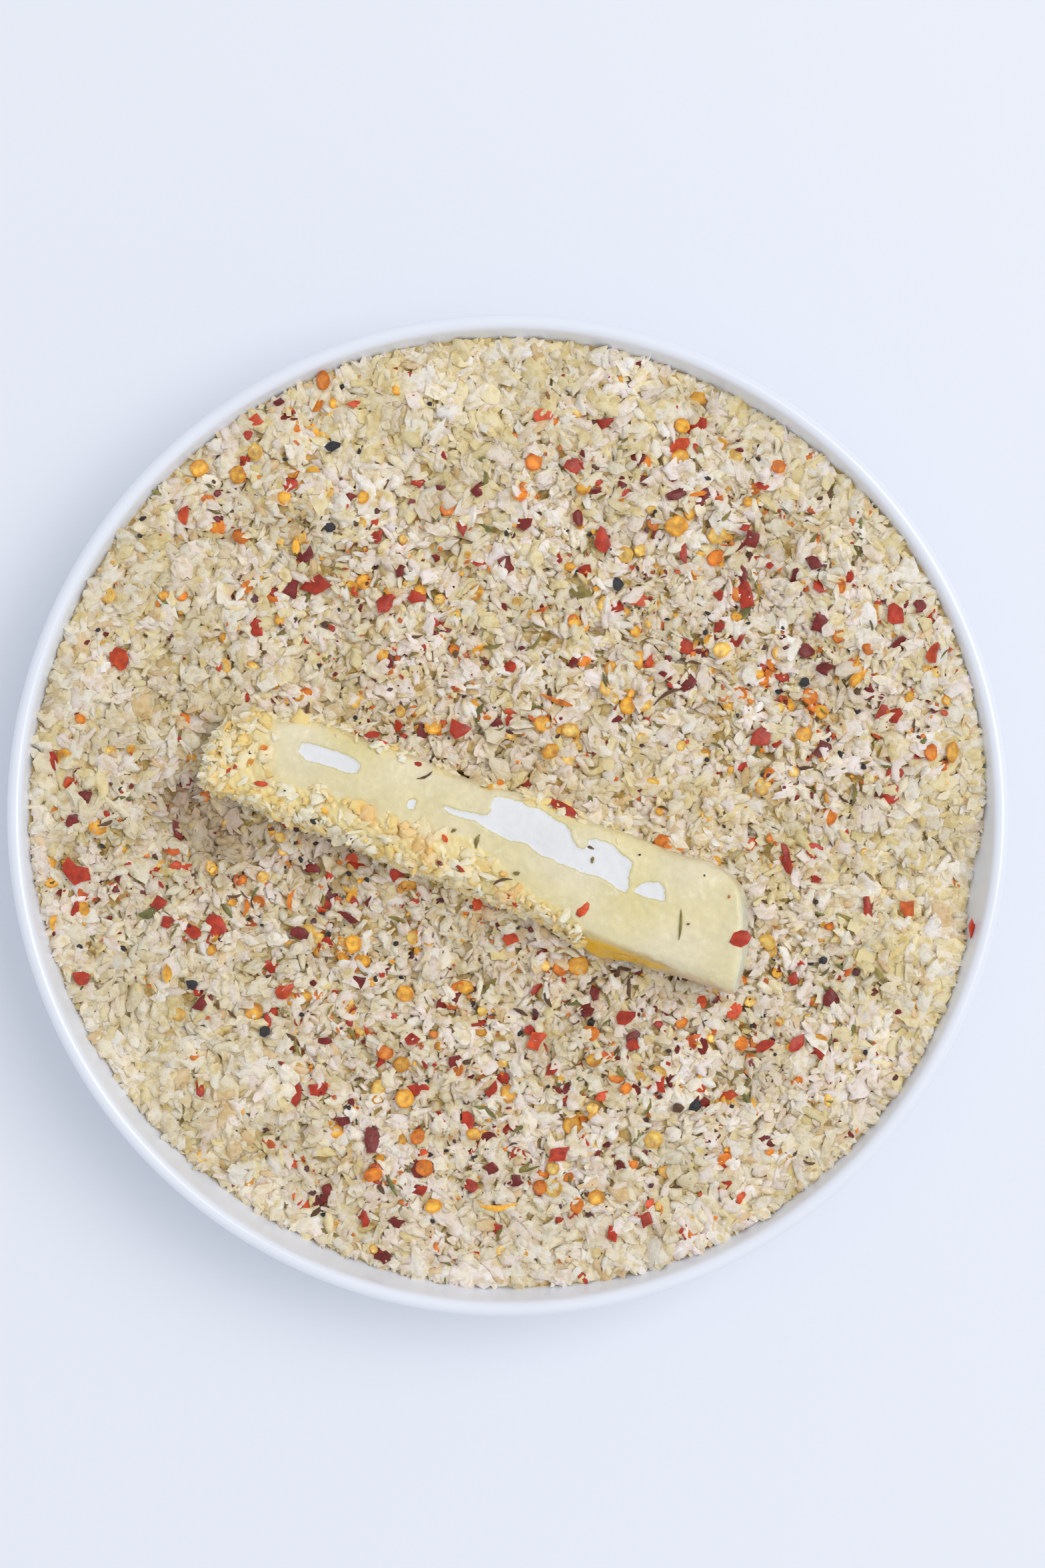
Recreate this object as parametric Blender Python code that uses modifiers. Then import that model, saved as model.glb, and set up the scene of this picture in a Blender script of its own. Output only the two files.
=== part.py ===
"""A stick of mozzarella, half breaded, lying in a bowl of seasoned dry crumbs.

Metres, +Z up. The origin is on the bowl's axis, in the plane that its foot ring stands on.
Three solids: the glazed bowl, the bed of crumbs that fills it, and the cheese on top.
"""

import math
import random

import bmesh
import bpy
from mathutils import Matrix, Vector
from mathutils.geometry import delaunay_2d_cdt

SEED = 7184
TURN_STEPS = 72

# Bowl
RIM_RADIUS = 0.0925
RIM_HEIGHT = 0.032
LIP_WIDTH = 0.0030
FLOOR_RADIUS = 0.058
FLOOR_HEIGHT = 0.006
WALL_ARC_RADIUS = 0.03245
WALL_ARC_END = math.radians(76.0)
WALL_THICKNESS = 0.0036
FOOT_OUTER_RADIUS = 0.0500
FOOT_INNER_RADIUS = 0.0462
FOOT_HEIGHT = 0.0022
WALL_POINTS = 7

# Flake stuck to the bowl's inner wall
WALL_FLAKE_ANGLE = math.radians(-13.7)
WALL_FLAKE_LENGTH = 0.0037
WALL_FLAKE_WIDTH = 0.0020
WALL_FLAKE_HEIGHT = 0.0290

# Crumbs. EDGE_DROPS is how far below the rim they meet the wall, every 30 degrees from +X.
GAP = 0.0004
EDGE_DROPS = (0.0032, 0.0018, 0.0052, 0.0056, 0.0036, 0.0036, 0.0034, 0.0062, 0.0072, 0.0060, 0.0042, 0.0040)
BAY_ANGLE = math.radians(-8.5)
BAY_WIDTH = math.radians(7.0)
BAY_DROP = 0.0046
MIDDLE_DROP = 0.0047
MIDDLE_REACH = 2.5
SWELL = 0.0005
SWELL_WAVES = (95.0, 120.0)
CRUMB_SHAKE = 0.3
EDGE_ROOM = 0.6
CRUMB_SPACING = 0.0035
CRUMB_BUMP = 0.0009
BED_RINGS = 5

# The largest chili flakes in the crumbs: x, y, length, width in mm and turn in degrees
LARGE_FLAKES_MM = (
    (-35.3, 42.5, 8.0, 4.7, 25.0),
    (33.1, 30.9, 5.0, 3.6, -20.0),
    (46.6, 14.8, 4.5, 4.2, 10.0),
    (66.9, -17.5, 6.8, 2.6, 100.0),
    (51.7, -8.0, 6.0, 2.4, 100.0),
    (-79.6, -10.5, 5.6, 4.4, -40.0),
    (-72.1, 28.8, 4.9, 4.7, 30.0),
    (-8.9, 15.9, 5.0, 3.2, 35.0),
    (53.8, -42.1, 4.6, 3.6, 30.0),
    (12.0, 64.8, 4.4, 3.6, -15.0),
    (-41.5, -32.5, 4.6, 3.4, 60.0),
    (-16.4, -65.5, 5.4, 4.0, 80.0),
)
SMALL_FLAKES = 34
SMALL_FLAKE_LENGTH = (0.0030, 0.0042)
SMALL_FLAKE_WIDTH = 0.8
FLAKE_FIELD_RADIUS = 0.080
FLAKES_APART = 0.008
STICK_ROOM = (0.058, 0.016)
GOLDEN_ANGLE = math.pi * (3.0 - math.sqrt(5.0))
FLAKE_SIDES = 6
FLAKE_PROUD = 0.0009
FLAKE_ROOT = 0.0020

# Cheese stick. STATIONS_MM holds, along the stick, where its back and front sides are.
STICK_CENTRE = Vector((-0.0036, -0.0040, 0.0315))
STICK_TURN = math.radians(-20.0)
STICK_PITCH = math.radians(4.0)
STICK_THICKNESS = 0.0140
STATIONS_MM = (
    (-50.0, 8.0, -7.8),
    (-38.0, 9.0, -8.4),
    (-18.0, 9.0, -8.6),
    (2.0, 9.3, -9.1),
    (20.0, 9.3, -10.0),
    (36.0, 9.4, -10.8),
    (49.0, 9.1, -11.3),
)
STICK_RINGS = 14
STICK_SIDES = 20
STICK_SQUARENESS = 5.0
FRONT_LEAN = 0.16
END_SLANT = 0.30
END_LEAN = 0.14
SLANT_START = 0.020
LEFT_ROUNDING = ((-0.0528, 0.62), (-0.0520, 0.84), (-0.0508, 0.95))
RIGHT_ROUNDING = ((0.0496, 0.975), (0.0500, 0.90))
STICK_WAVE = 0.00025

# Crumb crags on the cheese: along, across and up ranges in mm, and how many
CRAG_ZONES_MM = (
    ((-52.5, -44.0), (-7.0, 7.5), (1.0, 7.0), 18),
    ((-47.0, 25.0), (-12.5, -8.0), (0.5, 6.0), 32),
    ((-46.0, 18.0), (8.6, 9.6), (3.5, 6.5), 10),
)
CRAG_RADIUS = (0.0010, 0.0019)
CRAG_STRETCH = 1.5
CRAG_CLEARANCE = 0.0012

# Flakes on the cheese: along, across, length, width in mm and turn in degrees
STICK_FLAKES_MM = (
    (12.2, 8.0, 5.2, 3.4, -30.0),
    (21.5, -7.4, 4.2, 1.8, 65.0),
    (48.0, -1.2, 4.0, 3.2, 30.0),
)

STICK_FLAKE_ROOT = 0.0008

MM = 0.001


def clear_scene():
    for obj in list(bpy.data.objects):
        bpy.data.objects.remove(obj, do_unlink=True)


def new_collection(name):
    collection = bpy.data.collections.new(name)
    bpy.context.scene.collection.children.link(collection)
    return collection


def make_material(name, colour, roughness):
    """A plain dielectric; the colour is linear."""
    material = bpy.data.materials.new(name)
    material.use_nodes = True
    shader = material.node_tree.nodes["Principled BSDF"]
    shader.inputs["Base Color"].default_value = (*colour, 1.0)
    shader.inputs["Roughness"].default_value = roughness
    shader.inputs["Metallic"].default_value = 0.0
    return material


def object_from_bmesh(bm, name, collection, material=None):
    """Faces turned outwards, then the object, flat shaded."""
    bmesh.ops.recalc_face_normals(bm, faces=bm.faces)
    mesh = bpy.data.meshes.new(name)
    bm.to_mesh(mesh)
    bm.free()
    obj = bpy.data.objects.new(name, mesh)
    collection.objects.link(obj)
    if material:
        mesh.materials.append(material)
    return obj


def wall_point(arc, gap=0.0):
    """Radius and height of the bowl's inner wall, gap inside it. The arc is 0 at the floor."""
    radius = FLOOR_RADIUS + (WALL_ARC_RADIUS - gap) * math.sin(arc)
    height = FLOOR_HEIGHT + WALL_ARC_RADIUS - (WALL_ARC_RADIUS - gap) * math.cos(arc)
    return radius, height


def wall_arc_at(height):
    return math.acos(1.0 - (height - FLOOR_HEIGHT) / WALL_ARC_RADIUS)


def bowl_profile():
    """From the middle of the floor up the wall, over the lip, down the outside and under the foot."""
    points = [(0.0, FLOOR_HEIGHT)]
    arcs = [WALL_ARC_END * i / WALL_POINTS for i in range(WALL_POINTS + 1)]
    points += [wall_point(arc) for arc in arcs]
    lip = LIP_WIDTH / 2.0
    lip_centre = (RIM_RADIUS - lip, RIM_HEIGHT - lip)
    for degrees in (150.0, 115.0, 80.0, 40.0, 0.0):
        angle = math.radians(degrees)
        points.append((lip_centre[0] + lip * math.cos(angle), lip_centre[1] + lip * math.sin(angle)))
    for arc in reversed(arcs[:-1]):
        radius, height = wall_point(arc, -WALL_THICKNESS)
        if height < RIM_HEIGHT - LIP_WIDTH:
            points.append((radius, height))
    points.append((FOOT_OUTER_RADIUS + 0.0012, FOOT_HEIGHT))
    points.append((FOOT_OUTER_RADIUS, 0.0))
    points.append((FOOT_INNER_RADIUS, 0.0))
    points.append((FOOT_INNER_RADIUS - 0.0010, FOOT_HEIGHT - 0.0004))
    points.append((0.0, FOOT_HEIGHT - 0.0004))
    return points


def make_bowl(collection, material):
    mesh = bpy.data.meshes.new("bowl")
    points = bowl_profile()
    edges = [(i, i + 1) for i in range(len(points) - 1)]
    mesh.from_pydata([(r, 0.0, z) for r, z in points], edges, [])
    mesh.materials.append(material)
    bowl = bpy.data.objects.new("bowl", mesh)
    collection.objects.link(bowl)
    screw = bowl.modifiers.new("turn", "SCREW")
    screw.steps = TURN_STEPS
    screw.render_steps = TURN_STEPS
    screw.use_merge_vertices = True
    screw.merge_threshold = 0.00001
    screw.use_smooth_shade = True
    return bowl


def edge_drop(angle):
    """How far below the rim the crumbs meet the wall, eased between EDGE_DROPS, with the bay at the right."""
    place = (angle / math.tau % 1.0) * len(EDGE_DROPS)
    index = int(place) % len(EDGE_DROPS)
    ease = 0.5 - 0.5 * math.cos(math.pi * (place - int(place)))
    drop = EDGE_DROPS[index] * (1.0 - ease) + EDGE_DROPS[(index + 1) % len(EDGE_DROPS)] * ease
    away = (angle - BAY_ANGLE + math.pi) % math.tau - math.pi
    return drop + BAY_DROP * math.exp(-((away / BAY_WIDTH) ** 2))


def crumb_level(x, y):
    """Height of the crumbs without their bumps."""
    share = min(math.hypot(x, y) / (RIM_RADIUS - LIP_WIDTH), 1.0)
    middle = RIM_HEIGHT - MIDDLE_DROP
    edge = RIM_HEIGHT - edge_drop(math.atan2(y, x))
    waves = math.sin(x * SWELL_WAVES[0] + 0.6) + math.cos(y * SWELL_WAVES[1] - 0.4)
    return middle + (edge - middle) * share**MIDDLE_REACH + SWELL * waves * (1.0 - share * share)


def crumb_places(rng, boundary):
    """Points of the crumbs seen from above: the boundary ring, then a shaken hexagonal grid inside it."""
    places = [Vector((x, y)) for x, y, _ in boundary]
    row_step = CRUMB_SPACING * math.sqrt(3.0) / 2.0
    rows = int(RIM_RADIUS / row_step) + 1
    for row in range(-rows, rows + 1):
        for column in range(-rows, rows + 1):
            shake_x = rng.uniform(-CRUMB_SHAKE, CRUMB_SHAKE) * CRUMB_SPACING
            shake_y = rng.uniform(-CRUMB_SHAKE, CRUMB_SHAKE) * CRUMB_SPACING
            x = (column + 0.5 * (row % 2)) * CRUMB_SPACING + shake_x
            y = row * row_step + shake_y
            radius, _ = wall_point(wall_arc_at(RIM_HEIGHT - edge_drop(math.atan2(y, x))), GAP)
            if math.hypot(x, y) < radius - EDGE_ROOM * CRUMB_SPACING:
                places.append(Vector((x, y)))
    return places


def make_crumb_bed(collection, material):
    """The crumbs down to the floor: a bumpy top, sides along the wall at the gap, and a flat bottom."""
    rng = random.Random(SEED)
    arcs = []
    boundary = []
    for step in range(TURN_STEPS):
        angle = math.tau * step / TURN_STEPS
        arc = wall_arc_at(RIM_HEIGHT - edge_drop(angle))
        radius, height = wall_point(arc, GAP)
        arcs.append(arc)
        boundary.append((radius * math.cos(angle), radius * math.sin(angle), height))
    places = crumb_places(rng, boundary)
    ring = [(i, (i + 1) % TURN_STEPS) for i in range(TURN_STEPS)]
    flat, _, faces, origins, _, _ = delaunay_2d_cdt(places, ring, [], 1, 1e-7)
    bm = bmesh.new()
    top = []
    for point, origin in zip(flat, origins):
        if origin and origin[0] < TURN_STEPS:
            height = boundary[origin[0]][2]
        else:
            height = crumb_level(point.x, point.y) + rng.uniform(-1.0, 1.0) * CRUMB_BUMP
        top.append(bm.verts.new((point.x, point.y, height)))
    for face in faces:
        bm.faces.new([top[i] for i in face])
    by_origin = {origin[0]: i for i, origin in enumerate(origins) if origin}
    upper = [top[by_origin[i]] for i in range(TURN_STEPS)]
    for level in range(1, BED_RINGS + 1):
        lower = []
        for step in range(TURN_STEPS):
            angle = math.tau * step / TURN_STEPS
            radius, height = wall_point(arcs[step] * (1.0 - level / BED_RINGS), GAP)
            lower.append(bm.verts.new((radius * math.cos(angle), radius * math.sin(angle), height)))
        for step in range(TURN_STEPS):
            after = (step + 1) % TURN_STEPS
            bm.faces.new((upper[step], lower[step], lower[after], upper[after]))
        upper = lower
    middle = bm.verts.new((0.0, 0.0, FLOOR_HEIGHT + GAP))
    for step in range(TURN_STEPS):
        bm.faces.new((upper[step], middle, upper[(step + 1) % TURN_STEPS]))
    bed = object_from_bmesh(bm, "crumb_bed", collection, material)
    return bed, rng


def make_flake(name, collection, place, length, width, turn, rng, root=FLAKE_ROOT):
    """An uneven flat plug: its face stands proud of the place and its root is sunk below it."""
    bm = bmesh.new()
    rings = []
    reach = [rng.uniform(0.80, 1.0) for _ in range(FLAKE_SIDES)]
    lean = (rng.uniform(-0.12, 0.12), rng.uniform(-0.12, 0.12))
    for height, grow in ((-root, 0.85), (FLAKE_PROUD, 1.0)):
        ring = []
        for i in range(FLAKE_SIDES):
            angle = math.tau * i / FLAKE_SIDES
            x = grow * reach[i] * 0.5 * length * math.cos(angle)
            y = grow * reach[i] * 0.5 * width * math.sin(angle)
            ring.append(bm.verts.new((x, y, height + x * lean[0] + y * lean[1])))
        rings.append(ring)
    bm.faces.new(rings[0])
    bm.faces.new(rings[1])
    for i in range(FLAKE_SIDES):
        after = (i + 1) % FLAKE_SIDES
        bm.faces.new((rings[0][i], rings[0][after], rings[1][after], rings[1][i]))
    bm.transform(Matrix.Translation(place) @ Matrix.Rotation(turn, 4, "Z"))
    return object_from_bmesh(bm, name, collection)


def add_bed_flakes(collection, rng):
    """The large flakes where they lie, then smaller ones and seeds spread evenly by a sunflower rule."""
    taken = []
    for i, (x, y, length, width, turn) in enumerate(LARGE_FLAKES_MM):
        place = Vector((x * MM, y * MM, crumb_level(x * MM, y * MM)))
        make_flake(f"large_flake_{i}", collection, place, length * MM, width * MM, math.radians(turn), rng)
        taken.append(place)
    for i in range(SMALL_FLAKES):
        radius = FLAKE_FIELD_RADIUS * math.sqrt((i + 0.5) / SMALL_FLAKES)
        angle = GOLDEN_ANGLE * (i + 0.5)
        place = Vector((radius * math.cos(angle), radius * math.sin(angle), 0.0))
        place.z = crumb_level(place.x, place.y)
        length = rng.uniform(*SMALL_FLAKE_LENGTH)
        turn = rng.uniform(0.0, math.pi)
        from_stick = stick_matrix().inverted() @ place
        near_stick = abs(from_stick.x) < STICK_ROOM[0] and abs(from_stick.y) < STICK_ROOM[1]
        if near_stick or min((place - other).length for other in taken) < FLAKES_APART:
            continue
        taken.append(place)
        make_flake(f"small_flake_{i}", collection, place, length, SMALL_FLAKE_WIDTH * length, turn, rng)


def stick_matrix():
    turn = Matrix.Rotation(STICK_TURN, 4, "Z") @ Matrix.Rotation(-STICK_PITCH, 4, "Y")
    return Matrix.Translation(STICK_CENTRE) @ turn


def stick_sides(along):
    """Where the stick's back and front sides are at this place along it, straight between the stations."""
    rows = [(a * MM, back * MM, front * MM) for a, back, front in STATIONS_MM]
    if along <= rows[0][0]:
        return rows[0][1], rows[0][2]
    for low, high in zip(rows, rows[1:]):
        if along <= high[0]:
            share = (along - low[0]) / (high[0] - low[0])
            return low[1] + share * (high[1] - low[1]), low[2] + share * (high[2] - low[2])
    return rows[-1][1], rows[-1][2]


def stick_rings():
    """(along, scale) of each ring: a rounded left end, the straight run, and a cut end with eased edges."""
    first, last = STATIONS_MM[0][0] * MM, STATIONS_MM[-1][0] * MM
    run = [(first + (last - first) * i / (STICK_RINGS - 1), 1.0) for i in range(STICK_RINGS)]
    return [*LEFT_ROUNDING, *run, *RIGHT_ROUNDING]


def stick_point(along, scale, angle, grow):
    """A point of the ring: a squared-off oval, slanted and leaning towards the cut end."""
    back, front = stick_sides(along)
    half_width = (back - front) / 2.0
    half_height = STICK_THICKNESS / 2.0
    power = 2.0 / STICK_SQUARENESS
    across = math.copysign(abs(math.cos(angle)) ** power, math.cos(angle))
    up = math.copysign(abs(math.sin(angle)) ** power, math.sin(angle))
    wave = STICK_WAVE * (math.sin(along * 310.0 + 2.0 * angle) + math.sin(along * 170.0 - angle))
    z = (up * half_height * scale) + (up * (grow + wave))
    lean = FRONT_LEAN * min(across, 0.0) * (half_height - z)
    y = (across * half_width * scale) + (across * (grow + wave)) + (back + front) / 2.0 + lean
    ease = max(0.0, (along - SLANT_START) / (STATIONS_MM[-1][0] * MM - SLANT_START))
    slant = ease**1.5 * (END_SLANT * (y - (back + front) / 2.0) + END_LEAN * z)
    reach = 0.0
    if scale < 1.0:
        reach = math.copysign(grow, along)
    return Vector((along - slant + reach, y, z))


def stick_bmesh(grow):
    """The closed block, grown outwards by this much."""
    bm = bmesh.new()
    rings = []
    for along, scale in stick_rings():
        angles = [math.tau * (i + 0.5) / STICK_SIDES for i in range(STICK_SIDES)]
        rings.append([bm.verts.new(stick_point(along, scale, angle, grow)) for angle in angles])
    for near, far in zip(rings, rings[1:]):
        for i in range(STICK_SIDES):
            after = (i + 1) % STICK_SIDES
            bm.faces.new((near[i], near[after], far[after], far[i]))
    for ring in (rings[0], rings[-1]):
        middle = bm.verts.new(sum((v.co for v in ring), Vector()) / STICK_SIDES)
        for i in range(STICK_SIDES):
            bm.faces.new((ring[i], ring[(i + 1) % STICK_SIDES], middle))
    return bm


def make_stick(collection, material):
    stick = object_from_bmesh(stick_bmesh(0.0), "cheese_stick", collection, material)
    stick.matrix_world = stick_matrix()
    return stick


def on_stick_surface(along, across, up):
    """The point of the block's side or top nearest in direction to this one."""
    back, front = stick_sides(along)
    middle = (back + front) / 2.0
    half_width = (back - front) / 2.0
    half_height = STICK_THICKNESS / 2.0
    square = STICK_SQUARENESS
    size = (abs((across - middle) / half_width) ** square + abs(up / half_height) ** square) ** (1.0 / square)
    size = max(size, 0.05)
    return Vector((along, middle + (across - middle) / size, up / size))


def add_crags(collection):
    """Lumps of crumb on the breaded end, front side and back edge, kept clear above the bed."""
    rng = random.Random(SEED + 1)
    matrix = stick_matrix()
    for zone, (alongs, acrosses, ups, count) in enumerate(CRAG_ZONES_MM):
        for i in range(count):
            share = (i + 0.5) / count
            along = (alongs[0] + (alongs[1] - alongs[0]) * share) * MM + rng.uniform(-0.001, 0.001)
            place = on_stick_surface(along, rng.uniform(*acrosses) * MM, rng.uniform(*ups) * MM)
            radius = rng.uniform(*CRAG_RADIUS)
            stretch = rng.uniform(1.0, CRAG_STRETCH)
            spin = Matrix.Rotation(rng.uniform(0.0, math.pi), 4, "Z")
            shakes = [rng.uniform(0.85, 1.15) for _ in range(12)]
            world = matrix @ place
            if world.z - radius * stretch < crumb_level(world.x, world.y) + CRAG_CLEARANCE:
                continue
            bm = bmesh.new()
            bmesh.ops.create_icosphere(bm, subdivisions=1, radius=radius)
            for vertex, shake in zip(bm.verts, shakes):
                vertex.co *= shake
            bm.transform(Matrix.Translation(world) @ spin @ Matrix.Diagonal((stretch, 1.0, 1.0, 1.0)))
            object_from_bmesh(bm, f"crag_{zone}_{i}", collection)


def add_stick_flakes(collection):
    rng = random.Random(SEED + 2)
    for i, (along, across, length, width, turn) in enumerate(STICK_FLAKES_MM):
        place = stick_matrix() @ Vector((along * MM, across * MM, STICK_THICKNESS / 2.0))
        turn_world = math.radians(turn) + STICK_TURN
        size = (length * MM, width * MM)
        make_flake(f"stick_flake_{i}", collection, place, *size, turn_world, rng, STICK_FLAKE_ROOT)


def add_wall_flake(collection):
    """A flake flat against the bowl's inner wall, just under the lip."""
    rng = random.Random(SEED + 3)
    arc = wall_arc_at(WALL_FLAKE_HEIGHT)
    flake = make_flake("wall_flake", collection, Vector(), WALL_FLAKE_LENGTH, WALL_FLAKE_WIDTH, 0.0, rng)
    radius, height = wall_point(arc, 0.0002)
    lie = Matrix.Rotation(-arc, 4, "Y") @ Matrix.Rotation(math.pi / 2.0, 4, "Z")
    flake.data.transform(Matrix.Diagonal((1.0, 1.0, 0.6, 1.0)))
    flake.data.transform(lie)
    flake.data.transform(Matrix.Translation((radius, 0.0, height)))
    flake.data.transform(Matrix.Rotation(WALL_FLAKE_ANGLE, 4, "Z"))


def apply_modifier(obj, modifier):
    with bpy.context.temp_override(object=obj, active_object=obj):
        bpy.ops.object.modifier_apply(modifier=modifier.name)


def drop_scraps(obj):
    """Keeps the largest connected piece of the mesh."""
    bm = bmesh.new()
    bm.from_mesh(obj.data)
    seen = set()
    pieces = []
    for start in bm.verts:
        if start in seen:
            continue
        seen.add(start)
        piece = [start]
        for vertex in piece:
            for edge in vertex.link_edges:
                other = edge.other_vert(vertex)
                if other not in seen:
                    seen.add(other)
                    piece.append(other)
        pieces.append(piece)
    pieces.sort(key=len)
    for piece in pieces[:-1]:
        bmesh.ops.delete(bm, geom=piece, context="VERTS")
    bm.to_mesh(obj.data)
    bm.free()


def fuse(obj, collection):
    """One union with all the collection's objects, applied; the objects and any loose scrap are removed."""
    union = obj.modifiers.new("fuse", "BOOLEAN")
    union.operation = "UNION"
    union.operand_type = "COLLECTION"
    union.collection = collection
    union.solver = "EXACT"
    apply_modifier(obj, union)
    for lump in list(collection.objects):
        bpy.data.objects.remove(lump, do_unlink=True)
    bpy.data.collections.remove(collection)
    drop_scraps(obj)


def cut_stick_hollow(bed, cutters):
    """Cuts the bed back from the cheese that is pressed into it."""
    cutter = object_from_bmesh(stick_bmesh(GAP), "stick_hollow", cutters)
    cutter.matrix_world = stick_matrix()
    cutter.hide_render = True
    cutter.display_type = "WIRE"
    cut = bed.modifiers.new("hollow", "BOOLEAN")
    cut.operation = "DIFFERENCE"
    cut.object = cutter
    cut.solver = "EXACT"


def main():
    clear_scene()
    parts = new_collection("breaded_mozzarella")
    cutters = new_collection("cutters")
    glaze = make_material("white_glaze", (0.80, 0.81, 0.83), 0.25)
    crumbs = make_material("seasoned_crumbs", (0.60, 0.49, 0.33), 0.85)
    cheese = make_material("egg_washed_cheese", (0.76, 0.69, 0.44), 0.45)

    bowl = make_bowl(parts, glaze)
    apply_modifier(bowl, bowl.modifiers["turn"])
    wall_lumps = new_collection("wall_lumps")
    add_wall_flake(wall_lumps)
    fuse(bowl, wall_lumps)

    bed, rng = make_crumb_bed(parts, crumbs)
    bed_lumps = new_collection("bed_lumps")
    add_bed_flakes(bed_lumps, rng)
    fuse(bed, bed_lumps)
    cut_stick_hollow(bed, cutters)

    stick = make_stick(parts, cheese)
    stick_lumps = new_collection("stick_lumps")
    add_crags(stick_lumps)
    add_stick_flakes(stick_lumps)
    fuse(stick, stick_lumps)


main()
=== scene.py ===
import math

import bpy
import numpy as np
from mathutils import Matrix, Vector
from mathutils.geometry import delaunay_2d_cdt


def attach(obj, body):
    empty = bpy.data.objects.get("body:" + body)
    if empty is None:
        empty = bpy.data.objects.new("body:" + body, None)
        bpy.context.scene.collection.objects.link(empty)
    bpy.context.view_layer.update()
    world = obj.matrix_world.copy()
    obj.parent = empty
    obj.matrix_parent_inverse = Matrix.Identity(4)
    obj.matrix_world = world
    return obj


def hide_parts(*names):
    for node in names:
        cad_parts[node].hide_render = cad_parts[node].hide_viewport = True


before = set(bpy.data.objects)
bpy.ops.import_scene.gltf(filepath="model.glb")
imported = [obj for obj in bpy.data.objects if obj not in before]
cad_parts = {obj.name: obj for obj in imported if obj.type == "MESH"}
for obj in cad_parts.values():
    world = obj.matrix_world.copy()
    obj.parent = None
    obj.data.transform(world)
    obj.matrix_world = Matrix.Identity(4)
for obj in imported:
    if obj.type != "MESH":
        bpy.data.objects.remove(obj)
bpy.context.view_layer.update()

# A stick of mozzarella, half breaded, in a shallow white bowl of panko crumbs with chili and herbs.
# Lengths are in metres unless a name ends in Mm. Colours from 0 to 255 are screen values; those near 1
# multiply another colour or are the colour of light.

mm = 0.001
goldenAngle = math.pi * (3.0 - math.sqrt(5.0))

# The photograph's frame: where the rim lies in it and how far the camera is above the rim
picture = {
    "rimMiddle": (762.0, 1223.0),
    "middle": (784.0, 1176.0),
    "mmPerPixel": 0.1228,
    "cameraAboveRim": 0.5615,
    "lensMm": 70.0,
}
pixelSize = picture["mmPerPixel"] * mm        # at the rim's height


# Shared helpers

def linear(colour):
    values = np.asarray(colour, float) / 255.0
    return np.where(values <= 0.04045, values / 12.92, ((values + 0.055) / 1.055) ** 2.4)


def ripple(points, wavelength, seed, waves=14):
    # a smooth random swell, mostly between -1 and 1
    draws = np.random.default_rng(seed)
    ways = draws.normal(size=(waves, points.shape[-1]))
    ways /= np.linalg.norm(ways, axis=1, keepdims=True)
    pitch = math.tau / (wavelength * draws.uniform(0.7, 1.4, waves))
    phase = draws.uniform(0.0, math.tau, waves)
    return np.cos(points @ (ways * pitch[:, None]).T + phase).sum(axis=-1) / math.sqrt(2.0 * waves)


def smoothStep(low, high, value):
    share = np.clip((value - low) / (high - low), 0.0, 1.0)
    return share * share * (3.0 - 2.0 * share)


def pixelToRim(pixels):
    away = (np.asarray(pixels, float) - picture["rimMiddle"]) * pixelSize
    return away[..., 0], -away[..., 1]


def viewSpread(height):
    # how much wider the camera sees at this height than at the rim's
    return 1.0 + (bowlShape["rimHeight"] - height) / picture["cameraAboveRim"]


def atPixel(pixels, height):
    # where the camera's ray through a pixel of the photograph meets this height
    x, y = pixelToRim(pixels)
    axisX, axisY = pixelToRim(picture["middle"])
    return axisX + (x - axisX) * viewSpread(height), axisY + (y - axisY) * viewSpread(height)


def pixelsOf(points):
    # where the photograph shows these points
    axis = np.array(pixelToRim(picture["middle"]))
    flat = (axis + (points[:, :2] - axis) / viewSpread(points[:, 2:])) / pixelSize
    return picture["rimMiddle"][0] + flat[:, 0], picture["rimMiddle"][1] - flat[:, 1]


def newObject(name, points, faces, material, smooth=True, tints=None, sharpAngle=None):
    points = np.asarray(points, np.float32)
    faces = np.asarray(faces, np.int32)
    mesh = bpy.data.meshes.new(name)
    mesh.vertices.add(len(points))
    mesh.vertices.foreach_set("co", points.ravel())
    mesh.loops.add(faces.size)
    mesh.loops.foreach_set("vertex_index", faces.ravel())
    mesh.polygons.add(len(faces))
    mesh.polygons.foreach_set("loop_start", np.arange(0, faces.size, faces.shape[1], dtype=np.int32))
    mesh.update(calc_edges=True)
    mesh.polygons.foreach_set("use_smooth", np.full(len(faces), smooth))
    if sharpAngle is not None:
        mesh.set_sharp_from_angle(angle=math.radians(sharpAngle))
    if tints is not None:
        layer = mesh.color_attributes.new("tint", "FLOAT_COLOR", "POINT")
        rgba = np.ones((len(points), 4), np.float32)
        rgba[:, :3] = tints
        layer.data.foreach_set("color", rgba.ravel())
    mesh.materials.append(material)
    obj = bpy.data.objects.new(name, mesh)
    bpy.context.scene.collection.objects.link(obj)
    return obj


def standsFor(node, piece):
    # the piece takes the place of a node of the frame, and rides on the only body
    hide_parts(node)
    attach(piece, "root")


def band(near, far):
    # triangles between two rings of corners
    nearNext, farNext = np.roll(near, -1), np.roll(far, -1)
    return np.concatenate([np.stack([near, far, farNext], 1), np.stack([near, farNext, nearNext], 1)])


def fan(tip, ring):
    return np.stack([np.full(len(ring), tip), ring, np.roll(ring, -1)], 1)


def webFaces(sides, rings):
    # a top middle, rings of corners from the top down, and a bottom middle
    top = 1 + np.arange(sides)
    bottom = top + sides * (rings - 1)
    bands = [band(top + sides * i, top + sides * (i + 1)) for i in range(rings - 1)]
    return np.concatenate([fan(0, top), *bands, fan(bottom[-1] + 1, bottom)[:, ::-1]])


def ringAt(radius, height, angles):
    height = np.broadcast_to(height, angles.shape)
    return np.stack([radius * np.cos(angles), radius * np.sin(angles), height], 1)


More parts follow.
